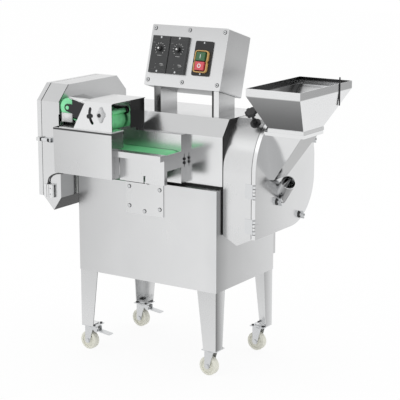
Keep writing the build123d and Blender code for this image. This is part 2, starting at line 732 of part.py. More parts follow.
def door():
    """The drum door: a dished plate with a window, its hinge straps and chute."""
    plate = drum_block(DOOR_X0, DOOR_X1)
    plate -= drum_block(DOOR_X0 - SHEET, DOOR_X1 - SHEET, SHEET, SHEET)
    edge, sill, top = CHUTE_WINDOW_EDGE, CHUTE_TIP_Z + CHUTE_WINDOW_SILL, CHUTE_WINDOW_TOP
    window = ((CHUTE_TIP_Y0 + edge, sill), (CHUTE_TIP_Y1 - edge, sill),
              (CHUTE_Y1 - top, CHUTE_Z1 - top), (CHUTE_Y0 + top, CHUTE_Z1 - top))
    plate -= prism_x(window, DOOR_X1 - 2 * SHEET, DOOR_X1 + SHEET)
    axis = Vector(*TUBE_AXIS).normalized()
    foot = Vector(DOOR_X1, TUBE_Y, TUBE_Z)
    tube_plane = Plane(origin=foot - axis * 2 * TUBE_R, z_dir=axis)
    bore = tube_plane.location * Cylinder(TUBE_R - SHEET, TUBE_L + 2 * TUBE_R,
                                          align=(Align.CENTER, Align.CENTER, Align.MIN))
    plate -= bore & slab(DOOR_X1 - 2 * SHEET, DOOR_X1 + SHEET, -CAB_D, CAB_D, CAB_Z0, RING_Z1)

    def strap(z0, z1):
        face = slab(DOOR_X1, DOOR_X1 + HINGE_LEAF_T, HINGE_AXIS_Y, DRUM_Y0 + DOOR_STRAP_Y, z0, z1)
        return face + slab(DOOR_HINGE_X, DOOR_X1 + HINGE_LEAF_T, HINGE_AXIS_Y - HINGE_R / 2,
                           HINGE_AXIS_Y + HINGE_R / 2, z0, z1)

    fixed, moving = hinge(DOOR_HINGE_SPANS, DOOR_HINGE_X, HINGE_AXIS_Y, -1, DRUM_Y0, strap)
    parts["hinge_and_latch_plates"] = fixed
    for solid in moving:
        plate += solid
    for y, z in KNOB_SPOTS:
        plate += rod((DOOR_X1 - SHEET, y, z), "x", KNOB_STUD_R, SHEET + KNOB_STUD_L)
    parts["drum_door"] = plate

    tube = tube_plane.location * Cylinder(TUBE_R, TUBE_L + 2 * TUBE_R,
                                          align=(Align.CENTER, Align.CENTER, Align.MIN))
    tube -= bore
    tube -= slab(0, DOOR_X1, -CAB_D, CAB_D, CAB_Z0, RING_Z1)
    outer = taper((DOOR_X1, DOOR_X1 + CHUTE_TIP_D, CHUTE_TIP_Y0, CHUTE_TIP_Y1), CHUTE_TIP_Z,
                  (DOOR_X1, CHUTE_X1 - CHUTE_FLANGE, CHUTE_Y0 + CHUTE_FLANGE, CHUTE_Y1 - CHUTE_FLANGE),
                  CHUTE_Z1)
    inner = taper((DOOR_X1 - SHEET, DOOR_X1 + CHUTE_TIP_D - SHEET, CHUTE_TIP_Y0 + SHEET,
                   CHUTE_TIP_Y1 - SHEET), CHUTE_TIP_Z + SHEET,
                  (DOOR_X1 - SHEET, CHUTE_X1 - CHUTE_FLANGE - SHEET, CHUTE_Y0 + CHUTE_FLANGE + SHEET,
                   CHUTE_Y1 - CHUTE_FLANGE - SHEET), CHUTE_Z1 + SHEET)
    chute = outer - inner
    band = frame_band(DOOR_X1, CHUTE_X1, CHUTE_Y0, CHUTE_Y1, CHUTE_Z1 - CHUTE_BAND, CHUTE_Z1, SHEET)
    lip = slab(DOOR_X1, CHUTE_X1, CHUTE_Y0, CHUTE_Y1, CHUTE_Z1 - SHEET, CHUTE_Z1)
    lip -= slab(DOOR_X1 + SHEET, CHUTE_X1 - CHUTE_FLANGE - SHEET, CHUTE_Y0 + CHUTE_FLANGE + SHEET,
                CHUTE_Y1 - CHUTE_FLANGE - SHEET, CHUTE_Z1 - 2 * SHEET, CHUTE_Z1 + SHEET)
    parts["feed_chute"] = group([chute + band + lip, tube])


def hopper():
    """The square hopper with its rolled rim band and its bolted foot band."""
    t = SHEET
    foot = (HOPPER_X0 + t, HOPPER_X1 - t, HOPPER_Y0 + t, HOPPER_Y1 - t)
    rim = (RIM_X0, RIM_X1, RIM_Y0, RIM_Y1)
    z0 = HOPPER_Z0 + HOPPER_BAND
    body = taper(foot, z0, rim, RIM_Z0)
    body -= taper((foot[0] + t, foot[1] - t, foot[2] + t, foot[3] - t), z0,
                  (rim[0] + t, rim[1] - t, rim[2] + t, rim[3] - t), RIM_Z0)
    body += frame_band(*rim, RIM_Z0, RIM_Z1, t)
    body += frame_band(HOPPER_X0, HOPPER_X1, HOPPER_Y0, HOPPER_Y1, HOPPER_Z0, z0, 2 * t)
    body += rod((ROD_X, ROD_Y, ROD_Z0), "z", ROD_R, ROD_Z1 - ROD_Z0)
    parts["hopper"] = body


def wing_knob(spot):
    """A wing nut on a washer, standing out of the door's face."""
    y, z = spot
    x = DOOR_X1
    knob = rod((x, y, z), "x", KNOB_WASHER_R, SHEET)
    knob += rod((x, y, z), "x", KNOB_HUB_R, KNOB_H)
    wing = slab(SHEET + LOOSE, KNOB_H - LOOSE, -KNOB_WING, KNOB_WING, -2 * LOOSE, 2 * LOOSE)
    knob += Pos(x, y, z) * Rot(KNOB_TURN, 0, 0) * wing
    return knob - rod((x - LOOSE, y, z), "x", KNOB_STUD_R + RUN, KNOB_STUD_L + LOOSE + GAP)


def door_knobs():
    """Three wing knobs that clamp the door."""
    for number, spot in enumerate(KNOB_SPOTS, 1):
        parts[f"door_knob_{number}"] = wing_knob(spot)


def top_knob():
    """The black hand knob that stands square to the drum's curved top."""
    plane = knob_plane()
    up = (Align.CENTER, Align.CENTER, Align.MIN)
    base = Pos(0, 0, GAP) * Cylinder(TOP_KNOB_BASE_R, TOP_KNOB_BASE_H, align=up)
    base -= plane.location.inverse() * rod((DRUM_X0, DRUM_YC, DISC_Z), "x", DRUM_R + GAP, DRUM_X1 - DRUM_X0)
    stem = Pos(0, 0, TOP_KNOB_BASE_H) * Cylinder(TOP_KNOB_STEM_R, TOP_KNOB_STEM_L, align=up)
    stem += Pos(0, 0, TOP_KNOB_BASE_H) * Cylinder(TOP_KNOB_COLLAR_R, TOP_KNOB_COLLAR_L, align=up)
    head = Cylinder(TOP_KNOB_HEAD_R, TOP_KNOB_HEAD_H, align=up)
    for step in range(6):
        angle = math.radians(60 * step)
        notch = Pos(1.18 * TOP_KNOB_HEAD_R * math.cos(angle), 1.18 * TOP_KNOB_HEAD_R * math.sin(angle), 0)
        head -= notch * Cylinder(TOP_KNOB_HEAD_R * 0.36, TOP_KNOB_HEAD_H, align=up)
    head = Pos(0, 0, TOP_KNOB_BASE_H + TOP_KNOB_STEM_L) * head
    bore = Cylinder(KNOB_STUD_R + RUN, KNOB_STUD_L + GAP, align=up)
    parts["top_knob"] = plane.location * (base + stem + head - bore)


def slicer():
    """The slicing disc with three blades, its shaft, pulley and clamp nut."""
    plate = rod((DISC_BACK_X, DISC_Y, DISC_Z), "x", DISC_R, DISC_T)
    plate -= rod((DISC_BACK_X - DISC_T, DISC_Y, DISC_Z), "x", SHAFT_R + RUN, 3 * DISC_T)
    plate_and_blades = plate
    for step in range(3):
        turn = Pos(0, DISC_Y, DISC_Z) * Rot(120 * step, 0, 0) * Pos(0, -DISC_Y, -DISC_Z)
        y0 = DISC_Y + DISC_HUB_R + 10
        slot = slab(DISC_BACK_X - SHEET, DISC_FRONT_X + SHEET, y0, y0 + BLADE_L, DISC_Z, DISC_Z + 4 * SHEET)
        blade = slab(DISC_FRONT_X, DISC_FRONT_X + BLADE_GAP, y0 - PLATE, y0 + BLADE_L + PLATE,
                     DISC_Z - 14, DISC_Z + SHEET)
        plate_and_blades = plate_and_blades - turn * slot + turn * blade
    parts["slicing_disc"] = plate_and_blades

    shaft_x0 = DISC_PULLEY_X - BLOCK_GAP - BLOCK_W - SHAFT_END
    nose = DISC_FRONT_X + 10
    shaft = rod((shaft_x0, DISC_Y, DISC_Z), "x", SHAFT_R, nose - shaft_x0)
    hub = rod((DISC_BACK_X - DISC_HUB_L, DISC_Y, DISC_Z), "x", DISC_HUB_R, DISC_HUB_L)
    nut = rod((DISC_FRONT_X, DISC_Y, DISC_Z), "x", SHAFT_R + 5, 7)
    pulley = rod((DISC_PULLEY_X, DISC_Y, DISC_Z), "x", PULLEY_R, PULLEY_W)
    parts["disc_shaft"] = fuse(shaft, hub, nut, pulley - groove(DISC_PULLEY_X, DISC_Y, DISC_Z, PULLEY_R))


def groove(x, y, z, radius):
    """The belt groove in a pulley that starts at x."""
    x0 = x + (PULLEY_W - BELT_W) / 2 - GAP
    width = BELT_W + 2 * GAP
    return rod((x0, y, z), "x", radius + SHEET, width) - rod((x0, y, z), "x", radius - BELT_T, width)


def leaf_knife():
    """Two curved leaf blades on a hub, with the shaft and pulley behind."""
    y, z = KNIFE_Y, KNIFE_Z
    hub = rod((KNIFE_X - 6, y, z), "x", KNIFE_ROOT_R, 20)
    blades = hub
    for step in range(2):
        turn = Pos(0, y, z) * Rot(180 * step, 0, 0) * Pos(0, -y, -z)
        swing = KNIFE_R * 0.62
        outer = rod((KNIFE_X, y + swing * 0.62, z), "x", swing, KNIFE_T)
        inner = rod((KNIFE_X - LOOSE, y + swing * 0.62 - KNIFE_BLADE_W, z - 6), "x", swing, 3 * KNIFE_T)
        sickle = outer - inner
        blades = blades + turn * (sickle & rod((KNIFE_X, y, z), "x", KNIFE_R, KNIFE_T))
        spoke = slab(KNIFE_X, KNIFE_X + KNIFE_T, y, y + KNIFE_R * 0.9, z - 22, z + 22)
        blades = blades + turn * (spoke & rod((KNIFE_X, y, z), "x", KNIFE_R, KNIFE_T))
    shaft_x1 = KNIFE_PULLEY_X + PULLEY_W + BLOCK_GAP + BLOCK_W + SHAFT_END
    shaft = rod((KNIFE_X - 16, y, z), "x", SHAFT_R, shaft_x1 - KNIFE_X + 16)
    pulley = rod((KNIFE_PULLEY_X, y, z), "x", PULLEY_R, PULLEY_W)
    pulley -= groove(KNIFE_PULLEY_X, y, z, PULLEY_R)
    parts["leaf_knife"] = fuse(blades, shaft, pulley)


def knife_outline(inset=0.0, foot=RING_Z0):
    """The cover's (y, z) outline: upright sides and two bevelled shoulders."""
    y0, y1 = RING_Y0 + inset, RING_Y1 - inset
    top = RING_Z1 - inset
    c = RING_CHAMFER - inset * 0.4
    return ((y0, foot), (y0, top - c), (y0 + c, top), (y1 - c, top), (y1, top - c), (y1, foot))


def knife_cover():
    """The knife chamber: a fixed ring, a pointed discharge and a hinged lid."""
    ring = prism_x(knife_outline(), RING_X0, RING_X1)
    ring -= prism_x(knife_outline(SHEET, RING_Z0 - SHEET), RING_X0 - SHEET, RING_X1 - SHEET)
    ring -= rod((RING_X1 - 2 * SHEET, KNIFE_Y, KNIFE_Z), "x", SHAFT_R + LOOSE, 3 * SHEET)
    ring -= slab(RING_X1 - 2 * SHEET, RING_X1 + SHEET, RAIL_Y0, BACK_BOX_Y0,
                 BELT_TOP_Z - 2, PRESS_PIVOT_Z - 26)
    tip_z = RING_Z0 - RING_V_DROP
    vee = ((RING_X0, RING_Z0), (RING_V_X, tip_z), (RING_X1, RING_Z0))
    for y in (RING_Y0, RING_Y1 - SHEET):
        ring += prism_y(vee, y, y + SHEET)
    rise = 3 * SHEET
    slide = ((RING_X1, RING_Z0), (RING_V_X, tip_z), (RING_V_X, tip_z + rise), (RING_X1, RING_Z0 + rise))
    ring += prism_y(slide, RING_Y0, RING_Y1)
    parts["knife_ring"] = ring

    lid = prism_x(knife_outline(), LID_X0, LID_X1)
    lid -= prism_x(knife_outline(SHEET, RING_Z0 + SHEET), LID_X0 + SHEET, LID_X1 + SHEET)

    def strap(z0, z1):
        far = LID_X0 + 2 * SHEET
        face = slab(far, RING_X0 - LID_SEAM, RING_Y1, RING_Y1 + HINGE_LEAF_T, z0, z1)
        return face + slab(RING_X0 - HINGE_R, RING_X0, RING_Y1, LID_HINGE_Y, z0, z1)

    fixed, moving = hinge(LID_HINGE_SPANS, RING_X0, LID_HINGE_Y, 1, RING_Y1, strap)
    for solid in moving:
        lid += solid
    lid += slab(LID_X0 + SHEET, LID_X1, RING_Y0 - 2 * LATCH_R, RING_Y0, LATCH_Z - LATCH_R, LATCH_Z + LATCH_R)
    parts["knife_lid"] = lid

    pivot = rod((LATCH_PIVOT_X, LATCH_Y, LATCH_Z - 1.4 * LATCH_R), "z", SHEET, 2.8 * LATCH_R)
    base = slab(LATCH_PIVOT_X - 5, LATCH_PIVOT_X + 9, LATCH_Y - LATCH_R, RING_Y0,
                LATCH_Z - 1.4 * LATCH_R, LATCH_Z + 1.4 * LATCH_R)
    base -= slab(LATCH_PIVOT_X - 6, LATCH_PIVOT_X + 10, LATCH_Y - 2 * LATCH_R, RING_Y0 - 1.5 * LOOSE,
                 LATCH_Z - LATCH_R - GAP, LATCH_Z + LATCH_R + GAP)
    fixed += [base + pivot]
    lever = rod((LATCH_TIP_X, LATCH_Y, LATCH_Z), "x", LATCH_R, LATCH_PIVOT_X - LATCH_TIP_X)
    knuckle = LATCH_R - LOOSE
    lever += rod((LATCH_PIVOT_X, LATCH_Y, LATCH_Z - knuckle), "z", 4 * LOOSE, 2 * knuckle)
    lever -= rod((LATCH_PIVOT_X, LATCH_Y, LATCH_Z - 2 * LATCH_R), "z", SHEET + RUN, 4 * LATCH_R)
    parts["latch_lever"] = lever
    parts["hinge_and_latch_plates"] = group(parts["hinge_and_latch_plates"] + fixed)

    body = slab(LID_SWITCH_X0, LID_SWITCH_X0 + LID_SWITCH_W, RING_Y0 - LID_SWITCH_D, RING_Y0,
                LID_SWITCH_Z0, LID_SWITCH_Z0 + LID_SWITCH_H)
    body = fillet(body.edges().filter_by(Axis.Z).group_by(Axis.Y)[0], 3 * LOOSE)
    parts["lid_switch"] = body
    x, y, z = LID_SWITCH_X0 + CABLE_INSET, RING_Y0 - 2 * CABLE_R, LID_SWITCH_Z0 + LID_SWITCH_H
    rise, run = CABLE_RISE, CABLE_RUN
    route = ((x, y, z), (x, y, z + 0.35 * rise), (x + 0.14 * run, y, z + 0.65 * rise),
             (x + 0.46 * run, y, z + 0.91 * rise), (x + 0.77 * run, y, z + rise),
             (x + run, y + 1.6 * CABLE_R, z + rise + 0.4 * CABLE_R))
    parts["lid_switch_cable"] = cable(route)


def cable(route):
    """A round cable along short runs joined by the largest tangent arcs."""
    radii = []
    for before, point, after in zip(route, route[1:], route[2:]):
        a = Vector(*point) - Vector(*before)
        b = Vector(*after) - Vector(*point)
        turn = math.radians(a.get_angle(b))
        radii.append(0.45 * min(a.length, b.length) / math.tan(turn / 2))
    print("cable radii", [round(r, 1) for r in radii])
    path = FilletPolyline(*route, radius=radii)
    start = Vector(*route[1]) - Vector(*route[0])
    section = Plane(origin=route[0], z_dir=start) * Circle(CABLE_R)
    tube = sweep(section, path=path)
    print("cable volume ratio", round(tube.volume / (path.length * math.pi * CABLE_R ** 2), 4))
    return tube


def side_boxes():
    """The two long boxes beside the belt: drive side in front, bearing side behind."""
    x0, x1 = SIDE_BOX_X0, SIDE_BOX_X1
    z0, z1 = SIDE_BOX_Z0, SIDE_BOX_Z1
    y0, y1 = SIDE_BOX_Y0, BASE_Y
    slant = SIDE_BOX_SLANT
    box = prism_y(((x0 + slant, z0), (x1, z0), (x1, z1), (x0, z1)), y0, y1)
    t = SHEET
    box -= prism_y(((x0 + slant + t, z0 + t), (x1 - t, z0 + t), (x1 - t, z1 + t), (x0 + t, z1 + t)),
                   y0 + t, y1 - t)
    lid = slab(x0 + SIDE_LID_SETBACK, x1 + SIDE_LID_LIP, y0 - SIDE_LID_LIP, y1, z1, z1 + SIDE_LID_T)
    lid = fillet(lid.edges().filter_by(Axis.X).group_by(Axis.Y)[0], SIDE_LID_T * 0.4)
    ear = slab(x1 - SIDE_EAR_W, x1 + SIDE_LID_LIP, y1 - t, SIDE_EAR_Y1, z1, z1 + SIDE_LID_T)
    ear += slab(x1 - t, x1, y1 - t, SIDE_EAR_Y1, z1 - SIDE_EAR_DROP, z1 + t)
    parts["drive_side_box"] = fuse(box, lid, ear)

    back = slab(HOUSE_X0, BASE_X1, BACK_BOX_Y0, HOUSE_Y0, BACK_BOX_Z0, BACK_BOX_Z1)
    back -= inset_box(HOUSE_X0, BASE_X1, BACK_BOX_Y0, HOUSE_Y0, BACK_BOX_Z0, BACK_BOX_Z1, t)
    for x in (FEED_DRIVE_X, FEED_TAIL_X):
        back -= rod((x, BACK_BOX_Y0 - t, FEED_AXIS_Z), "y", FEED_SHAFT_R + LOOSE, 3 * t)
    parts["rear_side_box"] = back


def conveyor():
    """The belt's frame with tray and base, the belt loop and its two rollers."""
    t = SHEET
    z_top = BELT_TOP_Z
    tray = slab(TRAY_X0, TRAY_X1, TRAY_Y0, RAIL_Y1, z_top - t, z_top)
    tray += slab(TRAY_X0, TRAY_X1, TRAY_Y0, TRAY_Y0 + t, z_top - TRAY_SKIRT, z_top)
    tray += slab(TRAY_X1 - t, TRAY_X1, TRAY_Y0, RAIL_Y1, z_top - TRAY_SKIRT, z_top)
    rail = slab(HOUSE_X0 + t, BASE_X1 - t, RAIL_Y0, RAIL_Y1, FEED_AXIS_Z - FEED_ROLLER_R, z_top - t)
    rail += slab(HOUSE_X0 + t, TRAY_X0, BASE_Y, RAIL_Y1, z_top - t, z_top)
    base = slab(BASE_X0, BASE_X1, BASE_Y, BASE_Y + t, BASE_Z0, z_top - t)
    notch_x = (BASE_X0 + BASE_X1) / 2
    base -= slab(notch_x - STUD_R - LOOSE, notch_x + STUD_R + LOOSE, BASE_Y - t, BASE_Y + 2 * t,
                 BASE_Z0 - t, BASE_Z0 + BASE_NOTCH)
    base += slab(BASE_X1 - t, BASE_X1, BASE_Y, BASE_Y + BASE_FLANGE, BASE_Z0, z_top - t)
    base += slab(BASE_X0, BASE_X0 + t, BASE_Y, RAIL_Y0 + t, BASE_Z0, z_top - t)
    base += slab(BASE_X0, notch_x - 2 * STUD_R, BASE_Y, BASE_Y + BASE_FLANGE, BASE_Z0, BASE_Z0 + t)
    base += slab(notch_x + 2 * STUD_R, BASE_X1, BASE_Y, BASE_Y + BASE_FLANGE, BASE_Z0, BASE_Z0 + t)
    base += slab(TRAY_X0, BASE_X0, RAIL_Y0 - t, RAIL_Y0, BASE_Z0, z_top - t)
    apron = slab(BASE_X1 - t, BASE_X1, BASE_Y, BACK_BOX_Y0, APRON_Z0, z_top - t)
    bed_z1 = z_top - FEED_BELT_T - GAP
    bed_x0 = FEED_DRIVE_X + FEED_ROLLER_R + 5
    bed_x1 = FEED_TAIL_X - FEED_ROLLER_R - 5
    bed = slab(bed_x0, bed_x1, FEED_Y0, FEED_Y1, bed_z1 - t, bed_z1)
    for x in (bed_x0 + 40, (bed_x0 + bed_x1) / 2, bed_x1 - 40):
        bed += slab(x - 10, x + 10, RAIL_Y1, BACK_BOX_Y0, bed_z1 - 20, bed_z1 - t)
    frame = fuse(tray, rail, base, apron, bed)
    for x in (FEED_DRIVE_X, FEED_TAIL_X):
        frame -= rod((x, RAIL_Y0 - t, FEED_AXIS_Z), "y", FEED_SHAFT_R + RUN, RAIL_Y1 - RAIL_Y0 + 2 * t)
    parts["conveyor_frame"] = frame

    r = FEED_ROLLER_R + GAP
    drive, tail = (FEED_DRIVE_X, FEED_AXIS_Z), (FEED_TAIL_X, FEED_AXIS_Z)
    parts["feed_belt"] = belt_xz(drive, r, tail, r, FEED_BELT_T, FEED_Y0, FEED_Y1)
    for name, x in (("feed_drive_roller", FEED_DRIVE_X), ("feed_tail_roller", FEED_TAIL_X)):
        roller = rod((x, FEED_Y0, FEED_AXIS_Z), "y", FEED_ROLLER_R, FEED_Y1 - FEED_Y0)
        roller += rod((x, RAIL_Y0, FEED_AXIS_Z), "y", FEED_SHAFT_R, BACK_BOX_Y0 + 18 - RAIL_Y0)
        parts[name] = roller

    shelf_z = BASE_Z0 - BASE_PAD_T
    stud_y = BASE_Y + BASE_FLANGE / 2
    plate = slab(-BRACKET_HALF, BRACKET_HALF, -CAB_Y - PLATE, -CAB_Y, BRACKET_Z0, shelf_z)
    shelf = slab(-BRACKET_HALF, BRACKET_HALF, BASE_Y + PLATE, -CAB_Y, shelf_z - PLATE, shelf_z)
    stud = rod((notch_x, stud_y, shelf_z - PLATE), "z", STUD_R, BASE_NOTCH + PLATE)
    stud += rod((notch_x, stud_y, BASE_Z0), "z", 1.7 * STUD_R, PLATE + t)
    parts["conveyor_bracket"] = fuse(plate, shelf, stud)
    for x0, x1 in ((BASE_X0, notch_x - 2 * STUD_R), (notch_x + 2 * STUD_R, BRACKET_HALF)):
        pad = slab(x0, x1, BASE_Y + PLATE, BASE_Y + BASE_FLANGE, shelf_z, BASE_Z0)
        parts["gaskets"].append(pad)
    parts["gaskets"] = group(parts["gaskets"])


def belt_xz(first, r1, second, r2, thick, y0, y1):
    """A belt loop round two circles given as (x, z), drawn out along Y."""
    loop = belt_outline(first, r1 + thick, second, r2 + thick) - belt_outline(first, r1, second, r2)
    return extrude(Plane.XZ.offset(-y1) * loop, amount=y1 - y0)


def belt_yz(first, r1, second, r2, thick, x0, x1):
    """A belt loop round two circles given as (y, z), drawn out along X."""
    loop = belt_outline(first, r1 + thick, second, r2 + thick) - belt_outline(first, r1, second, r2)
    return extrude(Plane.YZ.offset(x0) * loop, amount=x1 - x0)


def arc_slot(y0, y1):
    """The curved slot about the press pivot, cut along Y."""
    radius = math.hypot(STUD_X - PRESS_PIVOT_X, STUD_Z - PRESS_PIVOT_Z)
    middle = math.atan2(STUD_Z - PRESS_PIVOT_Z, STUD_X - PRESS_PIVOT_X)
    cut = None
    for sign in (-1, 1):
        end = middle + sign * math.radians(SLOT_SPREAD)
        hole = rod((PRESS_PIVOT_X + radius * math.cos(end), y0, PRESS_PIVOT_Z + radius * math.sin(end)),
                   "y", SLOT_W / 2, y1 - y0)
        cut = hole if cut is None else cut + hole
    ring = rod((PRESS_PIVOT_X, y0, PRESS_PIVOT_Z), "y", radius + SLOT_W / 2, y1 - y0)
    ring -= rod((PRESS_PIVOT_X, y0, PRESS_PIVOT_Z), "y", radius - SLOT_W / 2, y1 - y0)
    reach = 2 * radius
    wedge = [(PRESS_PIVOT_X, PRESS_PIVOT_Z)]
    for sign in (-1, 1):
        end = middle + sign * math.radians(SLOT_SPREAD)
        wedge.append((PRESS_PIVOT_X + reach * math.cos(end), PRESS_PIVOT_Z + reach * math.sin(end)))
    return cut + (ring & prism_y(wedge, y0, y1))


def press_head():
    """The press head: folded cheeks and cover, swinging arms, rollers and belt."""
    t = SHEET
    foot_z = SIDE_LID_Z1
    front = prism_y(((CHEEK_FOOT_X, foot_z), (CHEEK_X1, foot_z), (CHEEK_X1, CHEEK_TOP_Z),
                     (CHEEK_HEAD_X, CHEEK_TOP_Z)), CHEEK_Y0, CHEEK_Y0 + t)
    front -= arc_slot(CHEEK_Y0 - t, CHEEK_Y0 + 2 * t)
    rear = prism_y(((HOUSE_X0 + t, BACK_BOX_Z1), (CHEEK_X1, BACK_BOX_Z1), (CHEEK_X1, CHEEK_TOP_Z),
                    (CHEEK_HEAD_X, CHEEK_TOP_Z), (REAR_CHEEK_LOW_X, REAR_CHEEK_LOW_Z),
                    (HOUSE_X0 + t, REAR_CHEEK_LOW_Z)), REAR_CHEEK_Y, REAR_CHEEK_Y + t)
    rear += slab(CHEEK_X1 - t, CHEEK_X1, REAR_CHEEK_Y - REAR_CHEEK_FLANGE, REAR_CHEEK_Y + t,
                 foot_z, CHEEK_TOP_Z)
    rear += slab(HOUSE_X0 + t, CHEEK_X1, REAR_CHEEK_Y, HOUSE_Y0 - t, BACK_BOX_Z1, BACK_BOX_Z1 + t)
    rise = (HOUSE_TOP_Z - HOUSE_SHOULDER_Z) / HOUSE_SLOPE
    slope_z = HOUSE_SHOULDER_Z + (COVER_Y1 - HOUSE_Y0) * rise + 2 * LOOSE
    end = prism_x(((REAR_CHEEK_Y, BACK_BOX_Z1), (HOUSE_Y0 - t, BACK_BOX_Z1), (COVER_Y1, slope_z),
                   (COVER_Y1, CHEEK_TOP_Z), (REAR_CHEEK_Y, CHEEK_TOP_Z)), CHEEK_X1 - t, CHEEK_X1)
    cover = slab(COVER_X0, COVER_X1, CHEEK_Y0, COVER_Y1, CHEEK_TOP_Z, CHEEK_TOP_Z + t)
    cover += slab(COVER_X0, CHEEK_X1, COVER_Y1 - t, COVER_Y1, slope_z, CHEEK_TOP_Z)
    housing_part = fuse(front, rear, end, cover)
    for y in (CHEEK_Y0, REAR_CHEEK_Y):
        housing_part -= rod((PRESS_PIVOT_X, y - t, PRESS_PIVOT_Z), "y", PRESS_SHAFT_R + RUN, 3 * t)
    parts["press_housing"] = housing_part

    arms = []
    for y0 in (PRESS_Y0 - LOOSE - PRESS_ARM_T, PRESS_Y1 + LOOSE):
        spots = ((PRESS_PIVOT_X, PRESS_PIVOT_Z), (PRESS_FRONT_X, PRESS_FRONT_Z), (PRESS_REAR_X, PRESS_REAR_Z))
        plane = Plane.XZ.offset(-y0 - PRESS_ARM_T)
        side = ((PRESS_PIVOT_X, PRESS_PIVOT_Z), (PRESS_FRONT_X, PRESS_FRONT_Z - PRESS_ARM_R),
                (PRESS_PLATE_X, PRESS_REAR_Z - PRESS_ROLLER_R), (PRESS_PLATE_X, PRESS_REAR_Z + PRESS_ROLLER_R))
        arm = prism_y(side, y0, y0 + PRESS_ARM_T)
        for spot in spots[:2]:
            arm += extrude(plane * belt_outline(spot, PRESS_ARM_R, spots[2], PRESS_ARM_R), amount=PRESS_ARM_T)
        for x, z in spots[1:]:
            arm -= rod((x, y0 - t, z), "y", PRESS_SHAFT_R + RUN, PRESS_ARM_T + 2 * t)
        arms.append(arm)
    shaft_y0 = CHEEK_Y0 - PRESS_SHAFT_STUB
    shaft = rod((PRESS_PIVOT_X, shaft_y0, PRESS_PIVOT_Z), "y", PRESS_SHAFT_R, REAR_CHEEK_Y + 12 - shaft_y0)
    stud_y0 = CHEEK_Y0 - 9
    stud = rod((STUD_X, stud_y0, STUD_Z), "y", SLOT_W / 2 - LOOSE, PRESS_Y0 - LOOSE - stud_y0)
    stud += rod((STUD_X, stud_y0 + GAP, STUD_Z), "y", SLOT_W * 0.66, 9 - 2 * GAP)
    block_x1 = PRESS_PLATE_X
    block = slab(block_x1 - PRESS_BLOCK_W, block_x1, PRESS_Y0 - LOOSE - PRESS_BLOCK_T, PRESS_Y0 - LOOSE,
                 PRESS_BLOCK_Z0, PRESS_BLOCK_Z0 + PRESS_BLOCK_H)
    parts["press_arms"] = fuse(arms[0], shaft, arms[1], stud, block)

    centre = ((PRESS_FRONT_X, PRESS_FRONT_Z), (PRESS_REAR_X, PRESS_REAR_Z))
    for name, (x, z) in zip(("press_front_roller", "press_rear_roller"), centre):
        roller = rod((x, PRESS_Y0, z), "y", PRESS_ROLLER_R - GAP, PRESS_Y1 - PRESS_Y0)
        roller += rod((x, PRESS_Y0 - LOOSE - PRESS_ARM_T - t, z), "y", PRESS_SHAFT_R,
                      PRESS_Y1 - PRESS_Y0 + 2 * (LOOSE + PRESS_ARM_T + t))
        parts[name] = roller
    loop = belt_xz(centre[0], PRESS_ROLLER_R, centre[1], PRESS_ROLLER_R, PRESS_BELT_T, PRESS_Y0, PRESS_Y1)
    loop -= rod((PRESS_PIVOT_X, PRESS_Y0 - LOOSE, PRESS_PIVOT_Z), "y", PRESS_SLEEVE_R + LOOSE,
                PRESS_Y1 - PRESS_Y0 + 2 * LOOSE)
    sleeve = rod((PRESS_PIVOT_X, PRESS_Y0, PRESS_PIVOT_Z), "y", PRESS_SLEEVE_R, PRESS_Y1 - PRESS_Y0)
    sleeve -= rod((PRESS_PIVOT_X, PRESS_Y0, PRESS_PIVOT_Z), "y", PRESS_SHAFT_R + RUN, PRESS_Y1 - PRESS_Y0)
    parts["press_belt"] = group([loop, sleeve])


def bearings():
    """Pillow blocks for both main shafts and flange bearings for the rollers."""
    solids = []
    for pulley_x, y, z in ((DISC_PULLEY_X, DISC_Y, DISC_Z), (KNIFE_PULLEY_X, KNIFE_Y, KNIFE_Z)):
        for x in (pulley_x - BLOCK_GAP - BLOCK_W, pulley_x + PULLEY_W + BLOCK_GAP):
            block = slab(x, x + BLOCK_W, y - BLOCK_FOOT, y + BLOCK_FOOT, CAB_Z1, CAB_Z1 + SHAFT_END)
            block += slab(x, x + BLOCK_W, y - BLOCK_R, y + BLOCK_R, CAB_Z1, z)
            block += rod((x, y, z), "x", BLOCK_R, BLOCK_W)
            block -= rod((x - LOOSE, y, z), "x", SHAFT_R + RUN, BLOCK_W + 2 * LOOSE)
            solids.append(block)
    for x in (FEED_DRIVE_X, FEED_TAIL_X):
        y0 = BACK_BOX_Y0 + SHEET
        flange = rod((x, y0, FEED_AXIS_Z), "y", 22, 14)
        flange -= rod((x, y0, FEED_AXIS_Z), "y", FEED_SHAFT_R + RUN, 14)
        solids.append(flange)
    y0 = CHEEK_Y0 - 8
    half_w, half_h = 15.0, 29.0
    diamond = prism_y(((PRESS_PIVOT_X - half_w, PRESS_PIVOT_Z), (PRESS_PIVOT_X, PRESS_PIVOT_Z + half_h),
                       (PRESS_PIVOT_X + half_w, PRESS_PIVOT_Z), (PRESS_PIVOT_X, PRESS_PIVOT_Z - half_h)),
                      y0, CHEEK_Y0)
    diamond += rod((PRESS_PIVOT_X, y0 - 3, PRESS_PIVOT_Z), "y", 13, 11)
    diamond -= rod((PRESS_PIVOT_X, y0 - 10, PRESS_PIVOT_Z), "y", PRESS_SHAFT_R + RUN, 30)
    solids.append(diamond)
    parts["bearings"] = group(solids)


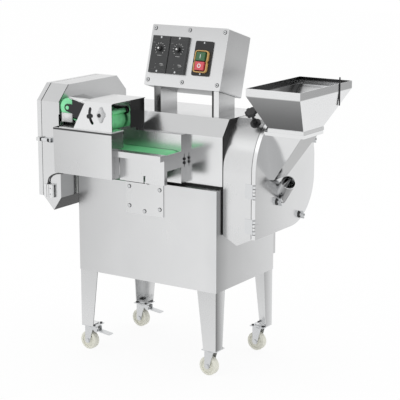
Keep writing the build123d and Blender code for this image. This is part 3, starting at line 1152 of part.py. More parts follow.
def drives():
    """Two motors on the cabinet floor, their pulleys and the two drive belts."""
    motors = []
    belts = []
    runs = (("knife_motor_pulley", KNIFE_MOTOR_X, KNIFE_PULLEY_X, KNIFE_Y, KNIFE_Z, -1),
            ("disc_motor_pulley", DISC_MOTOR_X, DISC_PULLEY_X, DISC_Y, DISC_Z, 1))
    for name, x, pulley_x, y, z, side in runs:
        body = rod((x, y, MOTOR_Z), "x", MOTOR_R, MOTOR_L)
        body += slab(x + 25, x + MOTOR_L - 25, y - MOTOR_FOOT_Y, y + MOTOR_FOOT_Y,
                     CAB_Z0 + SHEET, MOTOR_Z - 20)
        body -= rod((x - LOOSE, y, MOTOR_Z), "x", MOTOR_SHAFT_R + RUN, MOTOR_L + 2 * LOOSE)
        motors.append(body)
        shaft_x0 = pulley_x if side < 0 else x + 20
        shaft_x1 = x + MOTOR_L - 20 if side < 0 else pulley_x + PULLEY_W
        shaft = rod((shaft_x0, y, MOTOR_Z), "x", MOTOR_SHAFT_R, shaft_x1 - shaft_x0)
        wheel = rod((pulley_x, y, MOTOR_Z), "x", MOTOR_PULLEY_R, PULLEY_W)
        parts[name] = shaft + (wheel - groove(pulley_x, y, MOTOR_Z, MOTOR_PULLEY_R))
        belt_x = pulley_x + (PULLEY_W - BELT_W) / 2
        belts.append(belt_yz((y, z), PULLEY_R - BELT_T + GAP, (y, MOTOR_Z), MOTOR_PULLEY_R - BELT_T + GAP,
                             BELT_T, belt_x, belt_x + BELT_W))
    parts["drive_motors"] = group(motors)
    parts["drive_belts"] = group(belts)


def control_plane():
    """The tilted front of the control box: local X right, Y up, Z outward."""
    tilt = math.radians(TILT)
    outward = (0, -math.cos(tilt), math.sin(tilt))
    return Plane(origin=(CTRL_X0, CTRL_Y, CTRL_Z), x_dir=(1, 0, 0), z_dir=outward)


def waisted_block(width, height, corner):
    """Two round-cornered blocks one above the other that merge at a waist."""
    half = height / 2 + 2 * LOOSE
    offset = (height - half) / 2
    block = None
    for side in (-1, 1):
        lobe = Pos(SWITCH_U, BUTTON_MID_V + side * offset, SWITCH_T) * Box(
            width, half, BEZEL_T, align=(Align.CENTER, Align.CENTER, Align.MIN))
        lobe = fillet(lobe.edges().filter_by(Axis.Z), corner)
        block = lobe if block is None else block + lobe
    return block


def controls():
    """The control box with its front plate, speed units, switch and posts."""
    place = control_plane().location
    t = SHEET
    box = slab(0, CTRL_W, 0, CTRL_H, -CTRL_D, -t)
    box = fillet(box.edges().filter_by(Axis.Z), BEND_R)
    box -= slab(t, CTRL_W - t, t, CTRL_H - t, -CTRL_D + t, 0)
    parts["control_box"] = place * box

    plate = slab(0, CTRL_W, 0, CTRL_H, -t, 0)
    plate = fillet(plate.edges().filter_by(Axis.Z), BEND_R)
    units = []
    for index in range(2):
        u0 = UNIT_U0 + index * (UNIT_W + UNIT_GROOVE)
        unit = slab(u0, u0 + UNIT_W, UNIT_V0, UNIT_V0 + UNIT_H, 0, UNIT_T)
        unit = fillet(unit.edges().group_by(Axis.Z)[-1], LOOSE)
        du = u0 + UNIT_W / 2
        hole = rod((du, DIAL_V, -t - LOOSE), "z", DIAL_SHAFT_R + RUN, UNIT_T + 3 * t)
        unit -= hole
        plate -= hole
        units.append(place * unit)
        dial = Pos(du, DIAL_V, UNIT_T + GAP) * Cylinder(
            DIAL_R, DIAL_H, align=(Align.CENTER, Align.CENTER, Align.MIN))
        dial = chamfer(dial.edges().group_by(Axis.Z)[-1], LOOSE)
        dial += rod((du, DIAL_V, UNIT_T - DIAL_DEPTH), "z", DIAL_SHAFT_R, DIAL_DEPTH + LOOSE)
        parts["speed_dial_left" if index == 0 else "speed_dial_right"] = place * dial

    u0, v0 = SWITCH_U - SWITCH_W / 2, SWITCH_V - SWITCH_H / 2
    station = slab(u0, u0 + SWITCH_W, v0, v0 + SWITCH_H, 0, SWITCH_T)
    station = fillet(station.edges().filter_by(Axis.Z), 6 * LOOSE)
    bezel = waisted_block(BEZEL_W, BEZEL_H, BEZEL_CORNER)
    bezel -= waisted_block(BEZEL_W - 2 * BEZEL_WALL, BEZEL_H - 2 * BEZEL_WALL, BEZEL_CORNER - BEZEL_WALL)
    for name, v in zip(("start_button", "stop_button"), BUTTON_V):
        wide, high = BUTTON_W / 2, BUTTON_H / 2
        hole = slab(SWITCH_U - wide - GAP, SWITCH_U + wide + GAP, v - high - GAP, v + high + GAP,
                    -2 * t, SWITCH_T + BEZEL_T + t)
        station -= hole
        plate -= hole
        button = slab(SWITCH_U - wide, SWITCH_U + wide, v - high, v + high, -BUTTON_REAR,
                      SWITCH_T + BEZEL_T + BUTTON_PROUD)
        button = fillet(button.edges().group_by(Axis.Z)[-1], 1.5 * LOOSE)
        parts[name] = place * button
    parts["operator_panels"] = group(units + [place * station])
    parts["switch_bezel"] = place * bezel
    parts["control_plate"] = place * plate

    heads = []
    rows = (CTRL_MARGIN + 7, CTRL_H - CTRL_MARGIN)
    for u in (CTRL_MARGIN, CTRL_W / 2, CTRL_W - CTRL_MARGIN):
        for v in rows:
            heads.append(place * rod((u, v, 0), "z", SCREW_R, BOLT_HEAD_H / 2))
    for index in range(2):
        u = UNIT_U0 + index * (UNIT_W + UNIT_GROOVE) + UNIT_W / 2
        for v in (UNIT_V0 + 6, UNIT_V0 + UNIT_H - 6):
            heads.append(place * rod((u, v, UNIT_T), "z", BOLT_HEAD_R * 0.75, BOLT_HEAD_H / 3))
    reach = SWITCH_H / 2 - SWITCH_SCREW_EDGE
    for v in (SWITCH_V - reach, SWITCH_V + reach):
        heads.append(place * rod((SWITCH_U, v, SWITCH_T), "z", BOLT_HEAD_R * 0.6, BOLT_HEAD_H / 3))
    face_y = -CAB_Y - PLATE
    for x, z in ((-BRACKET_SCREW_X, BRACKET_SCREW_TOP), (BRACKET_SCREW_X, BRACKET_SCREW_TOP),
                 (-BRACKET_SCREW_X, BRACKET_SCREW_LOW), (BRACKET_SCREW_X, BRACKET_SCREW_LOW),
                 (0.0, BRACKET_SCREW_MID)):
        heads.append(screw_head(x, face_y, z, "y", -1))
    parts["panel_screws"] = group(heads)

    posts = []
    tilt = math.tan(math.radians(TILT))
    for x in POST_X:
        z_front = CTRL_Z - (POST_Y0 - CTRL_Y) * tilt
        z_back = CTRL_Z - (POST_Y1 - CTRL_Y) * tilt
        x0, x1 = x - POST_W / 2, x + POST_W / 2
        post = prism_x(((POST_Y0, HOUSE_TOP_Z), (POST_Y0, z_front), (POST_Y1, z_back),
                        (POST_Y1, HOUSE_TOP_Z)), x0, x1)
        inner = prism_x(((POST_Y0 + t, HOUSE_TOP_Z + t), (POST_Y0 + t, z_front - 2 * t),
                         (POST_Y1 - t, z_back - 2 * t), (POST_Y1 - t, HOUSE_TOP_Z + t)), x0 - t, x1 - t)
        posts.append(post - inner)
    parts["control_posts"] = group(posts)


def write_parts():
    """Move every part into the machine's own frame and write it."""
    os.makedirs("parts", exist_ok=True)
    for name, shape in parts.items():
        moved = Pos(SHIFT_X, SHIFT_Y, 0) * shape
        export_step(moved, f"parts/{name}.step")


cabinet()
legs()
casters()
housing()
drum()
door()
hopper()
door_knobs()
top_knob()
slicer()
leaf_knife()
knife_cover()
side_boxes()
conveyor()
press_head()
bearings()
drives()
controls()
write_parts()
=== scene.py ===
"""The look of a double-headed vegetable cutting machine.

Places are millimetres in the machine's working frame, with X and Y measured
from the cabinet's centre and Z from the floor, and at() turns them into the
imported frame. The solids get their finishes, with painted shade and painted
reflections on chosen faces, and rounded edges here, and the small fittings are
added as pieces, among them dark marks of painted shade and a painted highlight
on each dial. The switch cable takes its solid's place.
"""
import math

import bmesh
import bpy
from mathutils import Matrix, Vector


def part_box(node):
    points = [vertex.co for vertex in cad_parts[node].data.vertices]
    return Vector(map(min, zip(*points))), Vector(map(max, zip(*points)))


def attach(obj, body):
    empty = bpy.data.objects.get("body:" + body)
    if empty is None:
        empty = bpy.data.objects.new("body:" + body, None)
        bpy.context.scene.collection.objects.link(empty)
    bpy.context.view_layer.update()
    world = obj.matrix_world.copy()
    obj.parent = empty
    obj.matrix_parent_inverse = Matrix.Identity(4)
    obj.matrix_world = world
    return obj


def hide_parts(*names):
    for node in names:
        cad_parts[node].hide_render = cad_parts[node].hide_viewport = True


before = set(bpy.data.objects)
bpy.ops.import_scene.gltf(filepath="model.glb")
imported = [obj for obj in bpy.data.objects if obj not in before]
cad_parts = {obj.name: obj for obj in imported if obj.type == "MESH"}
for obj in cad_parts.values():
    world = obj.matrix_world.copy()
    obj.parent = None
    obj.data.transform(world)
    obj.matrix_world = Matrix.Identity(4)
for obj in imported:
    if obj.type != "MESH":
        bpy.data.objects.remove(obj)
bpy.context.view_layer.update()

# Camera, solved from the edges of the cabinet and the control box
PICTURE = 400
FOCAL_PX = 1389.4
SENSOR_MM = 36.0
CAMERA_AZIMUTH = 33.2
CAMERA_ELEVATION = 12.7
CAMERA_DISTANCE = 5274.4
CAMERA_AIM = (0.0, 0.0, 600.0)
CAMERA_RIGHT = 89.7
CAMERA_UP = -4.8

# Control box: the tilted face, its two speed units and its switch
TILT = 16.34
CTRL_X0 = -57.0
CTRL_Y = -125.0
CTRL_Z = 1046.5
CTRL_W = 328.0
CTRL_H = 226.0
CTRL_MARGIN = 14.0
UNIT_U = (52.5, 132.5)
UNIT_V0 = 47.0
UNIT_H = 137.0
UNIT_W = 77.0
UNIT_T = 9.0
DIAL_V = 136.0
DIAL_TOP = 12.3
SWITCH_U = 238.0
SWITCH_T = 4.0
BEZEL_T = 10.0
BUTTON_PROUD = 6.0
BUTTON_V = (117.0, 83.0)
FRAME_LINE_INSET = 13.0

# Dial scale, with its angles in degrees
TICKS = 11
FIRST_TICK = 225
TICK_STEP = 27
TICK_R = (18.0, 23.0)

# Small marks on a speed unit: right of its middle, up, half width, height
UNIT_MARKS = ((14, 80, 7, 3.6), (21, 76, 4, 2.6), (15, 74, 5, 1.6), (-10, 66, 2.6, 1.6),
              (-10, 80, 1.6, 1.0), (-30, 158, 5, 1.2))

# Screws of the control box and of the bracket under the belt
SCREW_R = 6.2
SCREW_H = 2.0
SCREW_DROP = 7.0
BRACKET_FACE_Y = -208.0
BRACKET_SCREWS = ((-68.0, 679.0), (68.0, 679.0), (-68.0, 606.0), (68.0, 606.0), (0.0, 592.0))

# Hinges, latch, lid switch and its cable. A latch collar is x and half length.
LATCH_COLLARS = ((-400.0, 2.0), (-365.5, 4.0))
LATCH_Y = -304.5
LATCH_Z = 836.0
LATCH_R = 6.5
HINGE_AXIS_Y = -173.3
HINGE_X = 447.0
HINGE_R = 5.0
HINGE_SPANS = ((555.0, 609.0), (683.0, 735.0))
HINGE_GAPS = (0.02, 0.26, 0.5, 0.74, 0.98)
LID_SWITCH_X = (-390.0, -350.0)
LID_SWITCH_Y = -310.0
LID_SWITCH_Z = (617.5, 667.5)
SWITCH_GROOVES = (13.0, 23.0)
SWITCH_SCREW_X = 30.0
SWITCH_SCREW_Z = 14.0
CABLE_ROUTE = ((-376.0, -301.0, 667.5), (-376.0, -301.0, 683.6), (-366.2, -301.0, 697.4),
               (-343.8, -301.0, 709.36), (-322.1, -301.0, 713.5), (-306.0, -297.0, 714.5))
CABLE_R = 2.5
GLAND = ((4.6, -0.2), (4.6, 1.8), (3.6, 2.4), (3.0, 8.0))

# Knife cover, press head, belt, door and hopper
RING_X = (-404.0, -320.0)
RING_Y0 = -296.0
RING_Z1 = 1040.0
RING_CHAMFER = 60.0
GUARD = (-268.0, 1004.5, -186.0, 986.2)
GUARD_Y = (-303.0, -214.0)
GUARD_T = 1.6
GUARD_LIP = 5.0
TENSION = (159.5, -183.0, 796.0)
TENSION_NUTS = (-9.0, 5.0)
ARM_BLOCK = (-297.0, -250.0, -309.5, -304.0, 914.0, 946.0)
DOOR_FACE_X = 449.0
CLAMPS = ((-14.0, 647.0), (152.0, 568.0), (234.0, 841.0))
CLAMP_BODIES = ("knob_low_front", "knob_low_back", "knob_high_back")
CLAMP_H = 20.0
CLAMP_SHADOW_RING_R = (7.2, 13.0)
CLAMP_STUD_R = 3.4
SLEEVE_R = 2.6
ROD_X = 613.0
ROD_Y = 138.0
ROD_Z = (991.0, 1093.0)

# Edges of the solids
EDGE_WIDTH = 0.7
EDGE_ANGLE = 40

# Floor and lamps, in metres and watts. A lamp is name, place, side and power.
FLOOR_HALF = 14.0
FLOOR_WHITE = 0.95
FLOOR_GLOW = 0.90
LAMP_AIM = (0, 0, 0.7)
LAMPS = (("key", (-1.8, -4.0, 5.0), 3.0, 13.0),
         ("fill", (3.6, -2.0, 1.9), 2.4, 3.0),
         ("top", (0.2, 0.6, 4.0), 3.4, 10.0))

low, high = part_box("cabinet_shell")
MID_X = (low[0] + high[0]) / 2
MID_Y = (low[1] + high[1]) / 2
MM = 0.001


def at(x, y, z):
    """A place in the working frame, in mm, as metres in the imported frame."""
    return Vector((MID_X + x * MM, MID_Y + y * MM, z * MM))


def control(u, v, w=0.0):
    """A place on the tilted control face: right, up the face, and outward."""
    t = math.radians(TILT)
    return at(CTRL_X0 + u, CTRL_Y + v * math.sin(t) - w * math.cos(t),
              CTRL_Z + v * math.cos(t) + w * math.sin(t))


def control_turn():
    """The rotation that lays local Z along the control face's outward normal."""
    t = math.radians(TILT)
    right = Vector((1, 0, 0))
    up = Vector((0, math.sin(t), math.cos(t)))
    return Matrix((right, up, right.cross(up))).transposed()


class Surface:
    """A material under construction, with short calls for its nodes."""

    def __init__(self, name, color, metallic=0.0, roughness=0.5):
        self.material = bpy.data.materials.new(name)
        self.material.use_nodes = True
        self.tree = self.material.node_tree
        self.shader = self.tree.nodes["Principled BSDF"]
        self.shader.inputs["Base Color"].default_value = (*color, 1.0)
        self.shader.inputs["Metallic"].default_value = metallic
        self.shader.inputs["Roughness"].default_value = roughness
        source = self.tree.nodes.new("ShaderNodeTexCoord")
        self.coords = source.outputs["Object"]
        self.normals = source.outputs["Normal"]

    def link(self, output, name):
        self.tree.links.new(output, self.shader.inputs[name])

    def stretched(self, scale):
        mapping = self.tree.nodes.new("ShaderNodeMapping")
        mapping.inputs["Scale"].default_value = scale
        self.tree.links.new(self.coords, mapping.inputs["Vector"])
        return mapping.outputs["Vector"]

    def noise(self, scale, detail=4.0, vector=None, distortion=0.0):
        node = self.tree.nodes.new("ShaderNodeTexNoise")
        node.inputs["Scale"].default_value = scale
        node.inputs["Detail"].default_value = detail
        node.inputs["Distortion"].default_value = distortion
        self.tree.links.new(vector or self.coords, node.inputs["Vector"])
        return node.outputs["Fac"]

    def span(self, value, low_in, high_in, low_out, high_out):
        node = self.tree.nodes.new("ShaderNodeMapRange")
        for name, number in zip(("From Min", "From Max", "To Min", "To Max"),
                                (low_in, high_in, low_out, high_out)):
            node.inputs[name].default_value = number
        self.tree.links.new(value, node.inputs["Value"])
        return node.outputs["Result"]

    def tint(self, value, dark, light):
        node = self.tree.nodes.new("ShaderNodeMix")
        node.data_type = "RGBA"
        self.tree.links.new(value, node.inputs["Factor"])
        node.inputs["A"].default_value = (*dark, 1.0)
        node.inputs["B"].default_value = (*light, 1.0)
        return node.outputs["Result"]

    def combine(self, operation, first, second):
        node = self.tree.nodes.new("ShaderNodeMath")
        node.operation = operation
        self.tree.links.new(first, node.inputs[0])
        self.tree.links.new(second, node.inputs[1])
        return node.outputs["Value"]

    def times(self, color, factor):
        node = self.tree.nodes.new("ShaderNodeMix")
        node.data_type = "RGBA"
        node.blend_type = "MULTIPLY"
        node.inputs["Factor"].default_value = 1.0
        self.tree.links.new(color, node.inputs["A"])
        self.tree.links.new(factor, node.inputs["B"])
        return node.outputs["Result"]

    def along(self, axis, stops):
        """A factor that runs through (mm, factor) stops along a machine axis."""
        index = "xyz".index(axis)
        places = [at(*(mm if i == index else 0.0 for i in range(3)))[index] for mm, factor in stops]
        if places[0] > places[-1]:
            places.reverse()
            stops = tuple(reversed(stops))
        split = self.tree.nodes.new("ShaderNodeSeparateXYZ")
        self.tree.links.new(self.coords, split.inputs[0])
        share = self.span(split.outputs[index], places[0], places[-1], 0.0, 1.0)
        ramp = self.tree.nodes.new("ShaderNodeValToRGB")
        self.tree.links.new(share, ramp.inputs["Fac"])
        points = ramp.color_ramp.elements
        while len(points) < len(stops):
            points.new(0.5)
        for point, place, (mm, factor) in zip(points, places, stops):
            point.position = (place - places[0]) / (places[-1] - places[0])
            point.color = (factor, factor, factor, 1.0)
        return ramp.outputs["Color"]

    def painted_face_shade(self, direction, start, stop, axis, stops, gate=None):
        """Painted shade and painted reflections: white, apart from faces along a
        direction, which take the stops' factor and so look shaded.

        The painted shade sets in as the cosine between normal and direction goes from
        start to stop. A gate (axis, mm, mm) fades it in between two places.
        """
        if direction == "all":
            return self.along(axis, stops)
        dot = self.tree.nodes.new("ShaderNodeVectorMath")
        dot.operation = "DOT_PRODUCT"
        dot.inputs[1].default_value = Vector(direction).normalized()
        self.tree.links.new(self.normals, dot.inputs[0])
        shade_mask = self.span(dot.outputs["Value"], start, stop, 0.0, 1.0)
        if gate:
            shade_mask = self.combine("MULTIPLY", shade_mask, self.along(gate[0], ((gate[1], 0.0), (gate[2], 1.0))))
        node = self.tree.nodes.new("ShaderNodeMix")
        node.data_type = "RGBA"
        self.tree.links.new(shade_mask, node.inputs["Factor"])
        node.inputs["A"].default_value = (1.0, 1.0, 1.0, 1.0)
        self.tree.links.new(self.along(axis, stops), node.inputs["B"])
        return node.outputs["Result"]

    def bump(self, height, strength, distance, under=None):
        node = self.tree.nodes.new("ShaderNodeBump")
        node.inputs["Strength"].default_value = strength
        node.inputs["Distance"].default_value = distance
        self.tree.links.new(height, node.inputs["Height"])
        if under:
            self.tree.links.new(under, node.inputs["Normal"])
        return node.outputs["Normal"]


def steel(name, color, roughness, grain=(260, 260, 8), painted_shades=(), smudges=0.02, wave=0.00004):
    """Stainless sheet: fine grain, faint smudges, slight waves, and painted shade and
    painted reflections on chosen faces.

    Each painted shade is what painted_face_shade() takes: faces whose normal lies along the
    direction get the factor that the stops (mm, factor) give along the axis.
    """
    s = Surface(name, color, 1.0, roughness)
    fine = s.noise(1.0, 5.0, s.stretched(grain))
    smudge = s.noise(5.0, 4.0, distortion=0.5)
    s.link(s.combine("ADD", s.span(fine, 0.3, 0.7, roughness - 0.012, roughness + 0.012),
                     s.span(smudge, 0.35, 0.7, -smudges, smudges)), "Roughness")
    darker = tuple(c * 0.965 for c in color)
    tinted = s.tint(s.span(smudge, 0.3, 0.75, 0.0, 1.0), color, darker)
    # painted shade and painted reflections: each entry darkens the base colour on the faces it picks
    for tone in painted_shades:
        tinted = s.times(tinted, s.painted_face_shade(*tone))
    s.link(tinted, "Base Color")
    s.link(s.bump(fine, 0.05, wave), "Normal")
    return s.material


def plastic(name, color, roughness=0.45, grain=900.0, depth=0.00015, spread=0.08, ramp=None):
    """Moulded plastic or rubber: fine texture and slight tone changes."""
    s = Surface(name, color, 0.0, roughness)
    fine = s.noise(grain, 3.0)
    broad = s.noise(11.0, 4.0, distortion=0.4)
    s.link(s.span(broad, 0.3, 0.7, roughness - 0.07, roughness + 0.09), "Roughness")
    light = tuple(min(1.0, c * (1 + spread)) for c in color)
    dark = tuple(c * (1 - spread) for c in color)
    tinted = s.tint(s.span(broad, 0.3, 0.7, 0.0, 1.0), dark, light)
    if ramp:
        tinted = s.times(tinted, s.along(*ramp))
    s.link(tinted, "Base Color")
    s.link(s.bump(fine, 0.35, depth), "Normal")
    return s.material


def belting(name, color):
    """Green conveyor belting: a fine woven impression with worn streaks."""
    s = Surface(name, color, 0.0, 0.42)
    weave = s.noise(1.0, 2.0, s.stretched((700, 700, 700)))
    streak = s.noise(1.0, 4.0, s.stretched((3, 45, 45)))
    s.link(s.tint(s.span(streak, 0.3, 0.7, 0.0, 1.0), tuple(c * 0.86 for c in color),
                  tuple(min(1.0, c * 1.12) for c in color)), "Base Color")
    s.link(s.span(streak, 0.3, 0.7, 0.34, 0.52), "Roughness")
    s.link(s.bump(weave, 0.4, 0.0003), "Normal")
    return s.material


def casting(name, color, roughness):
    """Painted casting with orange-peel enamel."""
    s = Surface(name, color, 0.0, roughness)
    peel = s.noise(260.0, 3.0)
    broad = s.noise(14.0, 4.0)
    s.link(s.tint(broad, tuple(c * 0.8 for c in color), tuple(min(1, c * 1.15) for c in color)), "Base Color")
    s.link(s.bump(peel, 0.3, 0.0004), "Normal")
    s.shader.inputs["Coat Weight"].default_value = 0.3
    return s.material


SHEET = (0.80, 0.805, 0.81)
FRONT = (0, -1, 0)
RIGHT = (1, 0, 0)
TOP = (0, 0, 1)
BELOW = (0, 0, -1)


def flat(direction, factor, start=0.8, stop=0.95):
    """A painted shade that is the same all over the faces along a direction."""
    return (direction, start, stop, "x", ((-500.0, factor), (700.0, factor)))


# Painted shade and painted reflections: the face darkening given to each steel below makes the right-hand
# faces, the undersides, the seams and the hopper's inside look shaded, and leaves a lighter painted
# reflection streak on the housing's slope.
SATIN = steel("satin_sheet", SHEET, 0.30, painted_shades=(flat(RIGHT, 0.72), flat(BELOW, 0.6)))
PLATE = steel("plate_sheet", SHEET, 0.32, painted_shades=(
    (FRONT, 0.7, 0.9, "z", ((1046, 0.94), (1150, 0.86), (1263, 0.72))), flat(BELOW, 0.3)))
CABINET = steel("cabinet_sheet", SHEET, 0.30, painted_shades=(
    (FRONT, 0.8, 0.95, "x", ((-310, 0.76), (-120, 0.86), (250, 0.96), (310, 0.92))),
    (RIGHT, 0.8, 0.95, "y", ((-205, 0.40), (-120, 0.62), (205, 0.86))), flat(TOP, 0.75)))
HOUSING = steel("housing_sheet", SHEET, 0.20, painted_shades=(
    (FRONT, 0.93, 0.98, "z", ((710, 1.0), (890, 0.95))),
    ((0, -0.79, 0.61), 0.95, 0.99, "x", ((-120, 0.62), (-60, 0.66), (-38, 0.95), (-15, 0.75), (310, 0.70))),
    flat(RIGHT, 0.02), flat(TOP, 0.80, 0.9, 0.98)))
DRUM = steel("drum_sheet", SHEET, 0.27, painted_shades=(
    (FRONT, 0.3, 0.9, "z", ((540, 0.92), (760, 0.94), (880, 0.80), (950, 0.6))),
    (TOP, 0.3, 0.8, "z", ((850, 0.8), (950, 0.68))),
    (RIGHT, 0.8, 0.95, "x", ((428, 1.0), (431, 0.04)))))
DOOR = steel("door_sheet", SHEET, 0.22, painted_shades=(
    (RIGHT, 0.8, 0.95, "y", ((-168, 0.66), (40, 0.84), (262, 0.92))),))
HOPPER = steel("hopper_sheet", SHEET, 0.26, painted_shades=(
    (FRONT, 0.85, 0.94, "z", ((917, 1.0), (930, 1.0), (932, 0.17), (975, 0.22), (1040, 0.36), (1044, 1.0),
                              (1070, 1.0)), ("y", 60, 50)),
    (RIGHT, 0.95, 0.99, "z", ((917, 0.7), (929, 0.7), (931, 1.0), (1041, 1.0), (1044, 0.46), (1070, 0.46)),
     ("x", 500, 510)),
    (RIGHT, 0.97, 0.99, "z", ((1043, 0.4), (1045, 0.2), (1048, 0.04), (1070, 0.04)), ("x", 450, 440)),
    ((0.88, 0, 0.47), 0.96, 0.99, "y", ((-140, 0.75), (0, 0.5), (90, 0.12), (200, 0.05))),
    ((0, -0.5, 0.87), 0.96, 0.99, "x", ((396, 0.3), (450, 0.6), (520, 0.9), (606, 0.95))),
    (FRONT, 0.97, 0.99, "z", ((1043, 1.0), (1055, 1.0), (1060, 0.1), (1070, 0.1)), ("y", 150, 160))))
CHUTE = steel("chute_sheet", SHEET, 0.16, painted_shades=(flat(BELOW, 0.35, 0.2, 0.7),))
BOX = steel("box_sheet", SHEET, 0.26, painted_shades=(
    (FRONT, 0.8, 0.95, "x", ((-300, 0.78), (-150, 0.84), (-60, 0.9), (160, 0.98))),
    (RIGHT, 0.8, 0.95, "z", ((714, 0.6), (800, 0.5), (899, 0.28))), flat(BELOW, 0.3)))
DRIVE_BOX = steel("drive_box_sheet", SHEET, 0.26, painted_shades=(
    (FRONT, 0.8, 0.95, "x", ((-303, 0.74), (-150, 0.84), (-60, 0.92), (-37, 0.92))),
    (FRONT, 0.8, 0.95, "z", ((730, 1.0), (890, 1.0), (892, 0.12), (897, 0.12), (898, 1.0), (903, 1.0))),
    (RIGHT, 0.8, 0.95, "z", ((730, 0.62), (820, 0.42), (890, 0.12), (897, 0.12), (899, 0.8), (903, 0.8))),
    flat(BELOW, 0.2)))
CONTROL = steel("control_sheet", SHEET, 0.30, painted_shades=(
    (RIGHT, 0.8, 0.95, "z", ((1010, 0.85), (1100, 0.62), (1270, 0.46))), flat(BELOW, 0.4)))
POSTS = steel("post_sheet", SHEET, 0.24, painted_shades=(
    (RIGHT, 0.8, 0.95, "z", ((950, 0.5), (990, 0.72), (1030, 0.6), (1045, 0.3))),
    (FRONT, 0.8, 0.95, "x", ((-20, 0.12), (-12, 0.3), (10, 0.42), (120, 0.42), (230, 0.04), (239, 0.04),
                             (241, 1.0), (262, 1.0)))))
LEGS = steel("leg_sheet", SHEET, 0.28, painted_shades=(
    (RIGHT, 0.8, 0.95, "y", ((-205, 0.16), (-190, 0.34), (-150, 0.8), (140, 0.5), (205, 0.92))),
    (FRONT, 0.8, 0.95, "z", ((100, 0.92), (330, 0.80)))))
RING = steel("ring_sheet", SHEET, 0.22, painted_shades=(
    (FRONT, 0.8, 0.95, "z", ((620, 0.90), (1040, 0.84))), flat(BELOW, 0.035, 0.2, 0.5), flat(RIGHT, 0.62),
    flat(TOP, 0.74, 0.25, 0.55)))
LID = steel("lid_sheet", SHEET, 0.22, painted_shades=(
    (FRONT, 0.8, 0.95, "z", ((620, 0.94), (1040, 0.90))), flat(BELOW, 0.3, 0.3, 0.6),
    (RIGHT, 0.8, 0.95, "x", ((-412, 0.8), (-409, 0.03))), flat(TOP, 0.78, 0.25, 0.55)))
PRESS = steel("press_sheet", SHEET, 0.14, painted_shades=(flat(RIGHT, 0.03), flat(BELOW, 0.2), flat(TOP, 0.74)))
ARMS = steel("arm_sheet", (0.05, 0.05, 0.052), 0.24, painted_shades=(flat(BELOW, 0.2),))
MOUNTS = steel("mount_zinc", (0.66, 0.67, 0.68), 0.28, (90, 90, 90), painted_shades=(
    ("all", 0, 0, "z", ((97, 1.0), (103, 1.0), (104, 0.05), (111, 0.05))),))
TURNED = steel("turned_steel", (0.70, 0.71, 0.72), 0.20, (60, 900, 900), wave=0.0001)
SCREWS = steel("screw_steel", (0.62, 0.63, 0.64), 0.22, (60, 900, 900), wave=0.0001)
ZINC = steel("zinc_steel", (0.66, 0.67, 0.68), 0.28, (90, 90, 90), painted_shades=(flat(BELOW, 0.3),), wave=0.0002)
BLADE = steel("ground_blade", (0.80, 0.81, 0.82), 0.12, (900, 30, 900), wave=0.0001)
DARK_STEEL = steel("dark_steel_and_painted_shade", (0.035, 0.035, 0.037), 0.35, (90, 90, 90), wave=0.0001)
GREEN_BELT = belting("green_belting", (0.15, 0.60, 0.26))
# Painted light: the rollers and the press belt take lighter copies of the belting green, against the shade on
# the rollers and in the press head.
GREEN_ROLLER_PAINTED_LIGHT = belting("green_lagging_with_painted_light", (0.26, 0.82, 0.42))
PRESS_GREEN_PAINTED_LIGHT = belting("green_press_belting_with_painted_light", (0.24, 0.78, 0.38))
GASKET = plastic("gasket_rubber", (0.45, 0.45, 0.45), 0.55, 500.0, 0.0003, 0.1,
                 ("x", ((-320, 1.0), (-313.5, 1.0), (-312.5, 0.025), (320, 0.025))))
RUBBER = plastic("black_rubber", (0.012, 0.012, 0.013), 0.62, 500.0, 0.0003, 0.2)
BLACK = plastic("black_plastic", (0.014, 0.014, 0.015), 0.34, 700.0, 0.0002, 0.15)
CHARCOAL = plastic("charcoal_panel", (0.034, 0.035, 0.036), 0.42, 900.0, 0.0001, 0.08,
                   ("x", ((-43, 1.0), (125, 1.0), (135, 0.35), (220, 0.35))))
CHARCOAL_EDGE = plastic("charcoal_edge", (0.095, 0.096, 0.098), 0.40, 900.0, 0.0001, 0.06)
NYLON = plastic("cream_nylon", (0.74, 0.735, 0.65), 0.42, 300.0, 0.0003, 0.05)
SILVER = plastic("silver_housing", (0.76, 0.765, 0.77), 0.32, 900.0, 0.0001, 0.04)
AMBER = plastic("amber_plastic", (0.62, 0.38, 0.13), 0.25, 900.0, 0.00008, 0.05)
GREEN_BUTTON = plastic("green_button", (0.045, 0.13, 0.055), 0.24, 900.0, 0.00008, 0.05)
RED_BUTTON = plastic("red_button", (0.62, 0.085, 0.11), 0.24, 900.0, 0.00008, 0.05)
WHITE_MARK = plastic("white_mark", (0.80, 0.80, 0.79), 0.4, 900.0, 0.00005, 0.02)
GREY_MARK = plastic("grey_mark", (0.32, 0.32, 0.32), 0.4, 900.0, 0.00005, 0.02)
CABLE = plastic("cable_sheath", (0.05, 0.05, 0.052), 0.45, 600.0, 0.0002, 0.1)
MOTOR_PAINT = casting("motor_enamel", (0.08, 0.13, 0.20), 0.35)
CAST = casting("bearing_casting", (0.60, 0.605, 0.61), 0.35)

